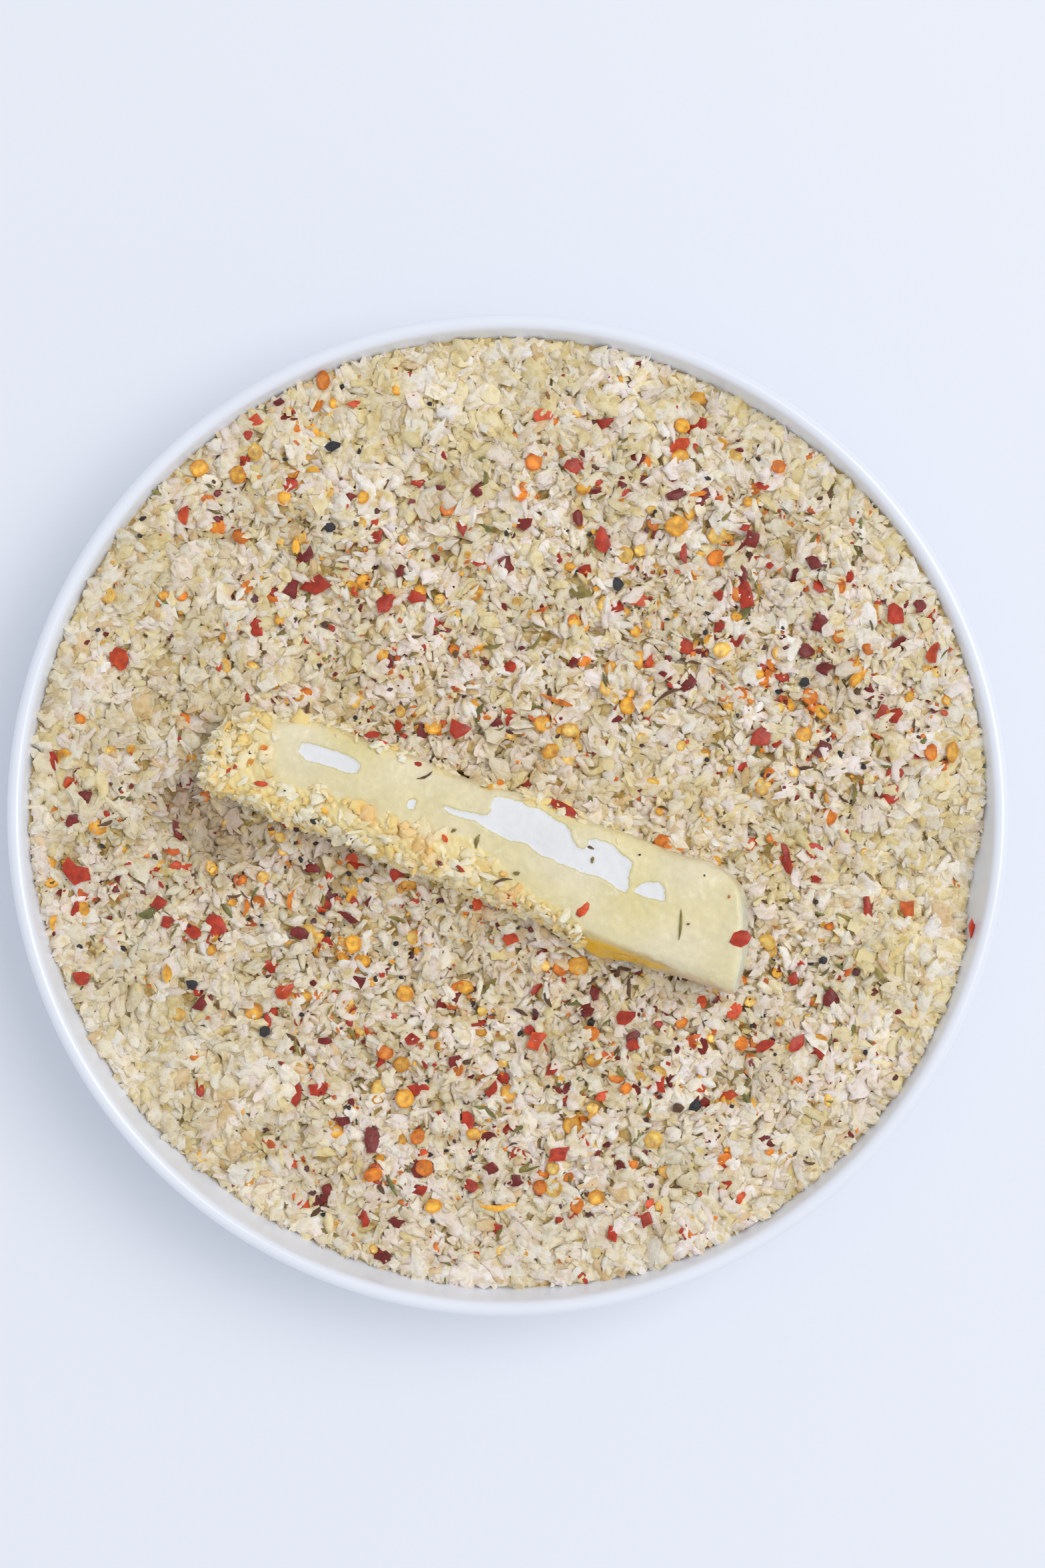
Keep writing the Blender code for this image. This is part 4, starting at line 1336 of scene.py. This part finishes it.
# What lies on the cheese: pixel across and down, length and width in pixels, turn in degrees, colour
stickBits = {
    "stick_flakes": (
        (392, 1176, 22, 9, -5, "scarlet"), (344, 1157, 14, 9, 60, "scarlet"),
        (355, 1149, 15, 6, 55, "scarlet"), (376, 1144, 17, 10, 45, "gold"),
        (397, 1122, 13, 10, 0, "orange"), (488, 1217, 16, 8, -40, "gold"), (626, 1147, 16, 11, 20, "red"),
        (556, 1101, 28, 13, 15, "red"), (573, 1112, 18, 5, -25, "scarlet"),
        (528, 1260, 30, 15, -40, "maroon"), (668, 1258, 15, 8, -55, "scarlet"),
        (844, 1212, 50, 21, -32, "red"), (876, 1363, 31, 16, 52, "scarlet"),
        (1111, 1408, 34, 27, 30, "red"), (1003, 1270, 14, 8, -10, "orange"),
        (1021, 1274, 12, 6, -15, "orange"), (1094, 1345, 6, 4, 80, "rust"), (691, 1303, 20, 6, -40, "red"),
        (661, 1295, 14, 7, -30, "maroon"), (762, 1346, 20, 8, -30, "scarlet"),
        (773, 1358, 14, 8, -35, "scarlet"), (735, 1180, 12, 8, 60, "gold"),
        (615, 1294, 22, 8, -15, "rust"), (750, 1173, 12, 12, 0, "orange"),
    ),
    "stick_herbs": (
        (638, 1164, 26, 4, 25, "umber"), (681, 1246, 9, 5, 30, "olive"), (716, 1262, 22, 7, 75, "olive"),
        (754, 1321, 30, 5, 15, "umber"), (775, 1310, 10, 7, 0, "olive"), (881, 1270, 22, 5, -15, "umber"),
        (1021, 1387, 46, 3.5, 86, "olive"), (886, 1402, 22, 8, -20, "olive"),
        (889, 1290, 10, 5, 80, "olive"),
    ),
    "stick_pepper": (
        (470, 1231, 14, 12, 0, "pepper"), (376, 1131, 6, 4, 0, "pepper"), (371, 1198, 6, 4, 0, "pepper"),
        (935, 1245, 4, 4, 0, "pepper"), (960, 1282, 4, 4, 0, "pepper"), (428, 1186, 4, 4, 0, "pepper"),
        (1057, 1313, 4, 4, 0, "umber"), (1033, 1386, 5, 4, 0, "umber"),
    ),
}
stickBitKinds = {
    "stick_flakes": {
        "seed": 71, "shape": "slab", "sides": 8, "rag": 0.15, "curl": 0.3, "thickMm": 0.5, "roughness": 0.36,
    },
    "stick_herbs": {"seed": 72, "shape": "strip", "thickMm": 0.4, "roughness": 0.6},
    "stick_pepper": {"seed": 73, "shape": "icosahedron", "thickMm": 0.9, "roughness": 0.5},
}
stickBitFit = {
    "riseMm": 0.2,
    "crustRiseMm": 0.6,
    "sideRoll": 0.5,
    "shade": (0.84, 1.14),
    "sharpAngle": 24.0,
}


def readRows(rows):
    # pieces given one by one, in metres and radians
    numbers = np.array([row[:5] for row in rows], float).reshape(-1, 5)
    length, width = numbers[:, 2:4].T * pixelSize
    return numbers[:, :2], length, width, np.radians(numbers[:, 4]), [row[5] for row in rows]


def makeStickBits(name):
    kind, b = stickBitKinds[name], stickBitFit
    draws = np.random.default_rng(kind["seed"])
    pixels, length, width, turn, colours = readRows(stickBits[name])
    none = np.zeros(len(pixels))
    place = onStickTop(pixels)
    back, front = stickSides(place[:, 0])
    share = np.clip((place[:, 1] - (back + front) / 2.0) / ((back - front) / 2.0), -1.1, 1.1)
    power = stickShape["squareness"]
    up = stickShape["thickness"] / 2.0 * (1.0 - np.minimum(np.abs(share), 0.985) ** power) ** (1.0 / power)
    thick = np.minimum(kind["thickMm"] * mm, width)
    crusted = crumbedShare(np.column_stack([place, up])) > 0.5
    rise = (b["riseMm"] + b["crustRiseMm"] * crusted) * mm
    corners, faces = shaped(kind, np.stack([length, width, thick], 1) / 2.0, draws)
    tints = linear([spiceColours[colour] for colour in colours])[:, None]
    tints = tints * draws.uniform(*b["shade"], (*corners.shape[:2], 1))
    roll = -b["sideRoll"] * np.sign(share) * smoothStep(0.85, 1.0, np.abs(share))
    tips = spins(none + stickShape["turn"], none - stickShape["pitch"], roll)
    turns = tips @ spins(none - stickShape["turn"], none, none) @ spins(turn, none, none)
    places = fromStick(np.column_stack([place, up + rise]))
    material = spiceMaterial(name, kind["roughness"])
    scattered(name, "cheese_stick", corners, faces, places, turns, tints, material, b["sharpAngle"])


# Seasoning: chili flakes and seeds, herbs, pepper and the dust of them all

spiceColours = {
    "red": (186, 56, 25),
    "scarlet": (218, 82, 33),
    "maroon": (124, 34, 25),
    "rust": (210, 102, 38),
    "orange": (234, 136, 40),
    "gold": (243, 180, 62),
    "yellow": (248, 206, 104),
    "olive": (146, 132, 66),
    "green": (124, 124, 66),
    "umber": (106, 76, 48),
    "pepper": (52, 50, 52),
    "plum": (98, 56, 58),
}

# Pieces that the photograph shows singly: pixel across and down, length, width, turn in degrees, colour
notedPieces = {
    "chili_flakes": (
        (477, 879, 60, 38, 25, "red"), (440, 884, 34, 30, 80, "maroon"), (1030, 973, 44, 30, -20, "red"),
        (1139, 1103, 36, 34, 10, "red"), (1303, 1365, 55, 21, 100, "red"),
        (1180, 1288, 48, 19, 100, "red"), (118, 1308, 48, 36, -40, "red"),
        (179, 990, 40, 38, 30, "scarlet"), (1197, 1564, 37, 29, 30, "red"), (859, 699, 38, 32, -15, "red"),
        (426, 1486, 37, 27, 60, "scarlet"), (629, 1753, 52, 34, 80, "maroon"),
        (580, 902, 38, 34, 40, "red"), (565, 805, 28, 26, 110, "red"), (814, 623, 36, 24, 0, "scarlet"),
        (908, 635, 34, 14, 30, "red"), (868, 776, 18, 30, 10, "maroon"), (905, 812, 26, 46, 0, "red"),
        (1115, 884, 36, 58, 15, "red"), (1129, 812, 28, 34, 0, "maroon"), (1339, 924, 28, 34, 20, "red"),
        (1320, 1068, 26, 20, 60, "red"), (1337, 1193, 34, 32, 40, "red"), (690, 1094, 46, 30, -40, "red"),
        (129, 1194, 28, 24, 10, "maroon"), (278, 775, 20, 36, 0, "scarlet"), (124, 1466, 32, 28, 0, "red"),
        (1229, 1578, 28, 24, 80, "red"), (1147, 1567, 30, 22, 20, "red"),
        (1100, 1514, 32, 26, 0, "scarlet"), (805, 1560, 32, 26, 40, "scarlet"),
        (624, 895, 36, 26, 0, "red"), (718, 735, 26, 20, 60, "maroon"), (1107, 957, 44, 26, 75, "red"),
        (1230, 1125, 30, 26, 20, "maroon"), (973, 994, 28, 18, 50, "scarlet"),
        (384, 634, 30, 24, 10, "scarlet"), (374, 656, 20, 22, 0, "red"), (531, 608, 26, 12, 10, "scarlet"),
        (419, 605, 26, 12, 10, "maroon"), (628, 725, 26, 20, 0, "red"), (1018, 668, 34, 28, 20, "scarlet"),
        (1015, 742, 32, 26, 20, "maroon"), (1025, 831, 14, 42, 10, "red"), (1118, 793, 20, 14, 0, "red"),
        (1220, 847, 28, 28, 0, "maroon"), (1377, 912, 24, 20, 0, "maroon"),
        (1230, 937, 28, 36, 0, "maroon"), (1208, 979, 26, 24, 0, "maroon"),
        (1233, 1004, 34, 26, 0, "maroon"), (1397, 979, 22, 32, 0, "scarlet"),
        (964, 902, 26, 20, 30, "scarlet"), (242, 1354, 30, 28, 0, "red"), (252, 1383, 24, 18, 0, "red"),
        (322, 1387, 44, 40, 30, "red"), (450, 1399, 36, 20, -10, "maroon"),
        (521, 1374, 42, 14, -30, "maroon"), (303, 1502, 32, 26, 20, "maroon"),
        (489, 1560, 22, 18, 0, "maroon"), (447, 1640, 20, 46, 0, "red"),
        (466, 1303, 28, 18, -20, "maroon"), (557, 1715, 34, 46, 0, "maroon"),
        (631, 1786, 24, 20, 0, "red"), (701, 1679, 26, 36, 10, "red"), (736, 1752, 28, 22, 0, "maroon"),
        (704, 1778, 24, 22, 0, "red"), (836, 1730, 42, 28, 20, "red"), (775, 1771, 28, 22, 0, "maroon"),
        (547, 1829, 20, 28, 0, "red"), (595, 1835, 30, 18, 0, "maroon"), (919, 1851, 18, 38, 15, "red"),
        (970, 1826, 22, 32, 0, "red"), (518, 1682, 26, 20, 0, "maroon"), (490, 1787, 24, 22, 0, "maroon"),
        (951, 1566, 24, 22, 0, "red"), (903, 1643, 24, 16, 30, "scarlet"), (940, 1525, 30, 26, 20, "red"),
        (948, 1560, 26, 36, 0, "maroon"), (892, 1488, 30, 20, 60, "maroon"),
        (1190, 1465, 28, 20, 70, "red"), (1245, 1495, 26, 34, 10, "maroon"),
    ),
    "chili_seeds": (
        (1014, 790, 36, 32, 0, "gold"), (1076, 803, 34, 30, 40, "yellow"), (1021, 687, 30, 26, 0, "gold"),
        (1073, 838, 28, 24, 30, "orange"), (856, 1096, 28, 24, 0, "yellow"),
        (826, 1127, 28, 24, 40, "gold"), (855, 1139, 28, 26, 0, "yellow"), (941, 1059, 28, 26, 60, "gold"),
        (358, 714, 24, 30, 0, "gold"), (384, 680, 24, 28, 20, "yellow"), (301, 704, 30, 28, 40, "gold"),
        (382, 1518, 28, 28, 0, "gold"), (608, 1491, 28, 26, 10, "gold"), (530, 1416, 26, 30, 0, "gold"),
        (868, 1448, 34, 32, 0, "gold"), (840, 1452, 24, 26, 0, "orange"), (602, 1597, 28, 24, 30, "gold"),
        (578, 1578, 26, 24, 0, "orange"), (607, 1647, 30, 32, 0, "gold"),
        (980, 1708, 30, 28, 60, "yellow"), (858, 1688, 30, 32, 0, "gold"),
        (1394, 1129, 30, 20, 80, "orange"), (1082, 975, 28, 26, 10, "yellow"),
        (1426, 1128, 34, 18, 85, "gold"), (486, 573, 22, 30, 0, "orange"),
        (1167, 702, 24, 22, 0, "orange"), (637, 1752, 28, 28, 20, "orange"),
        (810, 1780, 22, 24, 0, "orange"), (560, 1762, 32, 22, 20, "orange"),
        (650, 1808, 28, 22, 10, "gold"), (829, 1752, 22, 20, 0, "yellow"), (763, 1640, 26, 30, 0, "gold"),
        (890, 1589, 24, 22, 0, "gold"),
    ),
    "herb_strips": (
        (1006, 1041, 62, 6, 25, "umber"), (835, 1051, 52, 9, -20, "orange"),
        (871, 889, 34, 16, -10, "olive"), (82, 1383, 26, 10, 80, "gold"), (370, 1361, 28, 9, 80, "orange"),
        (437, 1348, 36, 9, 75, "orange"), (749, 1810, 56, 9, 5, "gold"), (223, 1370, 28, 16, 20, "green"),
        (1047, 742, 26, 9, 10, "orange"), (470, 706, 22, 10, 0, "gold"), (445, 821, 12, 24, 0, "gold"),
        (252, 1460, 14, 30, 0, "gold"),
    ),
    "pepper_grains": (
        (1042, 1658, 22, 20, 0, "pepper"), (1017, 1661, 20, 16, 0, "umber"),
        (926, 877, 20, 24, 0, "pepper"), (1208, 1023, 24, 16, 20, "pepper"),
        (1284, 1458, 15, 14, 0, "plum"), (1234, 1440, 18, 12, 0, "pepper"),
        (496, 791, 20, 16, 0, "pepper"), (499, 671, 26, 16, 20, "pepper"),
        (287, 1476, 20, 18, 0, "pepper"), (399, 1547, 20, 18, 0, "pepper"),
    ),
}

seasoningKinds = {
    "chili_flakes": {
        "count": 400, "seed": 31, "shape": "slab", "sides": 8, "rag": 0.34, "curl": 0.6,
        "lengthMm": (1.8, 4.8), "width": (0.55, 0.95), "thickMm": (0.30, 0.50), "liftMm": (0.05, 0.75),
        "tilt": 18.0, "roughness": 0.38, "notedLiftMm": 1.1,
        "colours": {"red": 0.40, "scarlet": 0.14, "maroon": 0.30, "rust": 0.16},
    },
    "chili_chips": {
        "count": 1050, "seed": 32, "shape": "slab", "sides": 5, "rag": 0.30, "curl": 0.4,
        "lengthMm": (1.0, 2.2), "width": (0.50, 0.95), "thickMm": (0.30, 0.50), "liftMm": (0.00, 0.65),
        "tilt": 22.0, "roughness": 0.45, "notedLiftMm": 0.7,
        "colours": {"red": 0.12, "maroon": 0.18, "rust": 0.15, "orange": 0.22, "gold": 0.26, "plum": 0.07},
    },
    "chili_seeds": {
        "count": 320, "seed": 33, "shape": "seed", "lengthMm": (2.0, 3.7), "width": (0.75, 0.98),
        "thickMm": (0.75, 1.10), "liftMm": (0.20, 0.70), "tilt": 14.0, "roughness": 0.42,
        "notedLiftMm": 1.2, "colours": {"gold": 0.44, "yellow": 0.26, "orange": 0.30},
    },
    "herb_strips": {
        "count": 330, "seed": 34, "shape": "strip", "lengthMm": (1.8, 4.8), "width": (0.16, 0.28),
        "thickMm": (0.30, 0.50), "liftMm": (0.20, 0.80), "tilt": 10.0, "roughness": 0.65,
        "notedLiftMm": 1.1, "colours": {"olive": 0.55, "green": 0.25, "umber": 0.20},
    },
    "pepper_grains": {
        "count": 210, "seed": 35, "shape": "icosahedron", "lengthMm": (0.9, 1.9), "width": (0.65, 1.0),
        "thickMm": (0.6, 1.1), "liftMm": (0.15, 0.65), "tilt": 60.0, "roughness": 0.55,
        "notedLiftMm": 0.95, "colours": {"pepper": 0.5, "umber": 0.2, "plum": 0.3},
    },
    "spice_dust": {
        "count": 500, "seed": 36, "shape": "octahedron", "lengthMm": (0.50, 1.00), "width": (0.5, 1.0),
        "thickMm": (0.25, 0.45), "liftMm": (0.15, 0.80), "tilt": 40.0, "roughness": 0.6,
        "notedLiftMm": 0.7,
        "colours": {"red": 0.20, "maroon": 0.16, "orange": 0.14, "plum": 0.10, "umber": 0.20, "olive": 0.20},
    },
}
seasoningSpread = {
    "triesPerPiece": 30,
    "thickest": 1.2,
    "clusterMm": 11.0,
    "clusterBase": 0.8,
    "cluster": 1.3,
    "edgeRoomMm": 1.2,
    "overBedMm": 0.6,
    "cheeseRoomMm": 0.7,
    "lengthPower": 1.6,
    "overRimMm": 0.5,
    "notedBelowRim": 0.0045,
    "notedThick": 1.1,
    "notedTilt": 0.10,
    "shade": (0.82, 1.16),
    "cornerShade": (0.84, 1.14),
    "seedMiddle": (1.04, 1.10, 1.25),
    "seedRim": (0.95, 0.84, 0.62),
    "sharpAngle": 24.0,
}
# The flake that sticks to the bowl's inner wall
wallFlake = {
    "angle": math.radians(-13.7),
    "height": 0.0290,
    "offWallMm": 0.6,
    "lengthMm": 3.7,
    "widthMm": 2.2,
    "thickMm": 0.4,
    "roll": 0.6,
}
spiceLook = {
    "darker": (0.66, 0.52, 0.60),
    "lighter": (1.14, 1.18, 1.20),
    "mottleMm": 1.5,
    "wrinkleMm": 1.0,
    "wrinkleDepthMm": 0.16,
    "grainMm": 0.35,
    "grainDepthMm": 0.04,
}


def spiceMaterial(name, roughness):
    # each piece's tint, mottled and wrinkled
    s = spiceLook
    material, shader = newMaterial(name, roughness, Specular_IOR_Level=0.45)
    tint = tintOf(material)
    darker, lighter = (multiplied(material, tint, s[key]) for key in ("darker", "lighter"))
    mottle = ranged(material, noiseOf(material, s["mottleMm"], 3.0), 0.32, 0.68)
    feed(material, shader, Base_Color=mixed(material, mottle, darker, lighter))
    wrinkle = (noiseOf(material, s["wrinkleMm"], 3.0), s["wrinkleDepthMm"])
    grain = (noiseOf(material, s["grainMm"], 3.0), s["grainDepthMm"])
    bumped(material, shader, wrinkle, grain)
    return material


def spiced(count, draws):
    # places over the bed, thicker where the seasoning is thick
    s = seasoningSpread
    x, y = draws.uniform(-1.0, 1.0, (2, count * s["triesPerPiece"])) * bowlShape["rimRadius"]
    cluster = s["clusterBase"] + s["cluster"] * ripple(np.stack([x, y], -1), s["clusterMm"] * mm, 91)
    keep = draws.uniform(0.0, s["thickest"], len(x)) < spiceAt(x, y) * cluster
    keep &= np.hypot(x, y) < edgeRadius(x, y) - s["edgeRoomMm"] * mm
    points = np.stack([x, y, bedTop(x, y) + s["overBedMm"] * mm], 1)
    keep &= ~insideStick(points, s["cheeseRoomMm"] * mm)
    return x[keep][:count], y[keep][:count]


def strewnPieces(kind, draws):
    # the scattered pieces of this kind: their places, sizes, turns and colours
    x, y = spiced(kind["count"], draws)
    count = len(x)
    length, width, thick, lift = drawnSizes(kind, count, draws, seasoningSpread["lengthPower"])
    yaw = draws.uniform(0.0, math.tau, count)
    pitch, roll = draws.normal(0.0, math.radians(kind["tilt"]), (2, count))
    colour = draws.choice(list(kind["colours"]), count, p=list(kind["colours"].values()))
    return [x, y, length, width, thick, lift, yaw, pitch, roll, colour]


def notedOnes(kind, rows, draws):
    # the pieces of this kind that the photograph shows singly
    s = seasoningSpread
    pixels, length, width, yaw, colour = readRows(rows)
    x, y = atPixel(pixels, bowlShape["rimHeight"] - s["notedBelowRim"])
    thick = np.full(len(rows), np.mean(kind["thickMm"]) * s["notedThick"] * mm)
    lift = np.full(len(rows), kind["notedLiftMm"] * mm)
    pitch, roll = draws.normal(0.0, s["notedTilt"], (2, len(rows)))
    return [x, y, length, width, thick, lift, yaw, pitch, roll, colour]


def flakeOnWall():
    f = wallFlake
    radius = wallRadiusAt(f["height"], f["offWallMm"] * mm)
    x, y = radius * math.cos(f["angle"]), radius * math.sin(f["angle"])
    sizes = (f[key] * mm for key in ("lengthMm", "widthMm", "thickMm"))
    return [x, y, *sizes, f["height"] - bedTop(x, y), f["angle"] + math.pi / 2.0, 0.0, f["roll"], "red"]


def makeSeasoning(name):
    kind, s = seasoningKinds[name], seasoningSpread
    draws = np.random.default_rng(kind["seed"])
    groups = [strewnPieces(kind, draws), notedOnes(kind, notedPieces.get(name, ()), draws)]
    if name == "chili_flakes":
        groups.append(flakeOnWall())
    columns = [np.hstack(column) for column in zip(*groups)]
    x, y, length, width, thick, lift, yaw, pitch, roll, colours = columns
    z = np.minimum(bedTop(x, y) + lift, bowlShape["rimHeight"] + s["overRimMm"] * mm)
    corners, faces = shaped(kind, np.stack([length, width, thick], 1) / 2.0, draws)
    tints = linear([spiceColours[colour] for colour in colours])
    tints = tints * draws.uniform(*s["shade"], (len(tints), 1))
    tints = tints[:, None] * draws.uniform(*s["cornerShade"], (*corners.shape[:2], 1))
    if kind["shape"] == "seed":
        tints[:, :seedSides + 1] *= np.array(s["seedMiddle"])
        tints[:, seedSides + 1:3 * seedSides + 1] *= np.array(s["seedRim"])
    places, turns = np.stack([x, y, z], 1), spins(yaw, pitch, roll)
    material = spiceMaterial(name, kind["roughness"])
    scattered(name, "crumb_bed", corners, faces, places, turns, tints, material, s["sharpAngle"])


# Floor, light and camera

studio = {
    "floorColour": (239, 242, 249),
    "floorSize": 8.0,
    "skyColour": (0.90, 0.94, 1.0),
    "skyStrength": 0.715,
    "keyPlace": (1.22, 0.42, 2.20),
    "keySize": 1.50,
    "keyWatts": 23.7,
    "keyColour": (1.0, 0.985, 0.96),
}


def makeFloor():
    half = studio["floorSize"] / 2.0
    points = [(-half, -half, 0.0), (half, -half, 0.0), (half, half, 0.0), (-half, half, 0.0)]
    material, shader = newMaterial("paleFloor", 0.55)
    cloud = ranged(material, noiseOf(material, 300.0, 3.0), 0.3, 0.7, 0.985, 1.0)
    feed(material, shader, Base_Color=multiplied(material, linear(studio["floorColour"]), cloud))
    newObject("floor", points, [(0, 1, 2, 3)], material)


def makeLight():
    world = bpy.data.worlds.new("studio")
    world.use_nodes = True
    background = world.node_tree.nodes["Background"]
    background.inputs["Color"].default_value = (*studio["skyColour"], 1.0)
    background.inputs["Strength"].default_value = studio["skyStrength"]
    bpy.context.scene.world = world
    lamp = bpy.data.lights.new("key", "AREA")
    lamp.shape = "SQUARE"
    lamp.size = studio["keySize"]
    lamp.energy = studio["keyWatts"]
    lamp.color = studio["keyColour"]
    key = bpy.data.objects.new("key", lamp)
    key.location = studio["keyPlace"]
    key.rotation_euler = (-Vector(studio["keyPlace"])).to_track_quat("-Z", "Y").to_euler()
    bpy.context.scene.collection.objects.link(key)
    bpy.context.scene.view_settings.view_transform = "Standard"


def makeCamera():
    x, y = pixelToRim(picture["middle"])
    data = bpy.data.cameras.new("camera")
    data.lens = picture["lensMm"]
    data.sensor_width = 36.0
    camera = bpy.data.objects.new("camera", data)
    camera.location = (x, y, bowlShape["rimHeight"] + picture["cameraAboveRim"])
    bpy.context.scene.collection.objects.link(camera)
    bpy.context.scene.camera = camera


makeFloor()
makeLight()
makeCamera()
makeBowl()
print("bowl turned")
makeBedCore(crumbMaterial("crumbCore", 1.0))
print("crumb bed laid")
looseCrumbs = crumbMaterial("looseCrumbs", 0.6)
for name in crumbKinds:
    makeCrumbs(name, looseCrumbs)
    print(f"{name} scattered")
for name in seasoningKinds:
    makeSeasoning(name)
    print(f"{name} strewn")
makeCheese(cheeseMaterial())
print("cheese shaped")
coatCrumbs = crumbMaterial("coatCrumbs", 0.6, coatColours["hollow"], 0.16)
for name in coatKinds:
    makeCoat(name, coatCrumbs)
    print(f"{name} pressed on")
for name in stickBits:
    makeStickBits(name)
    print(f"{name} laid on")
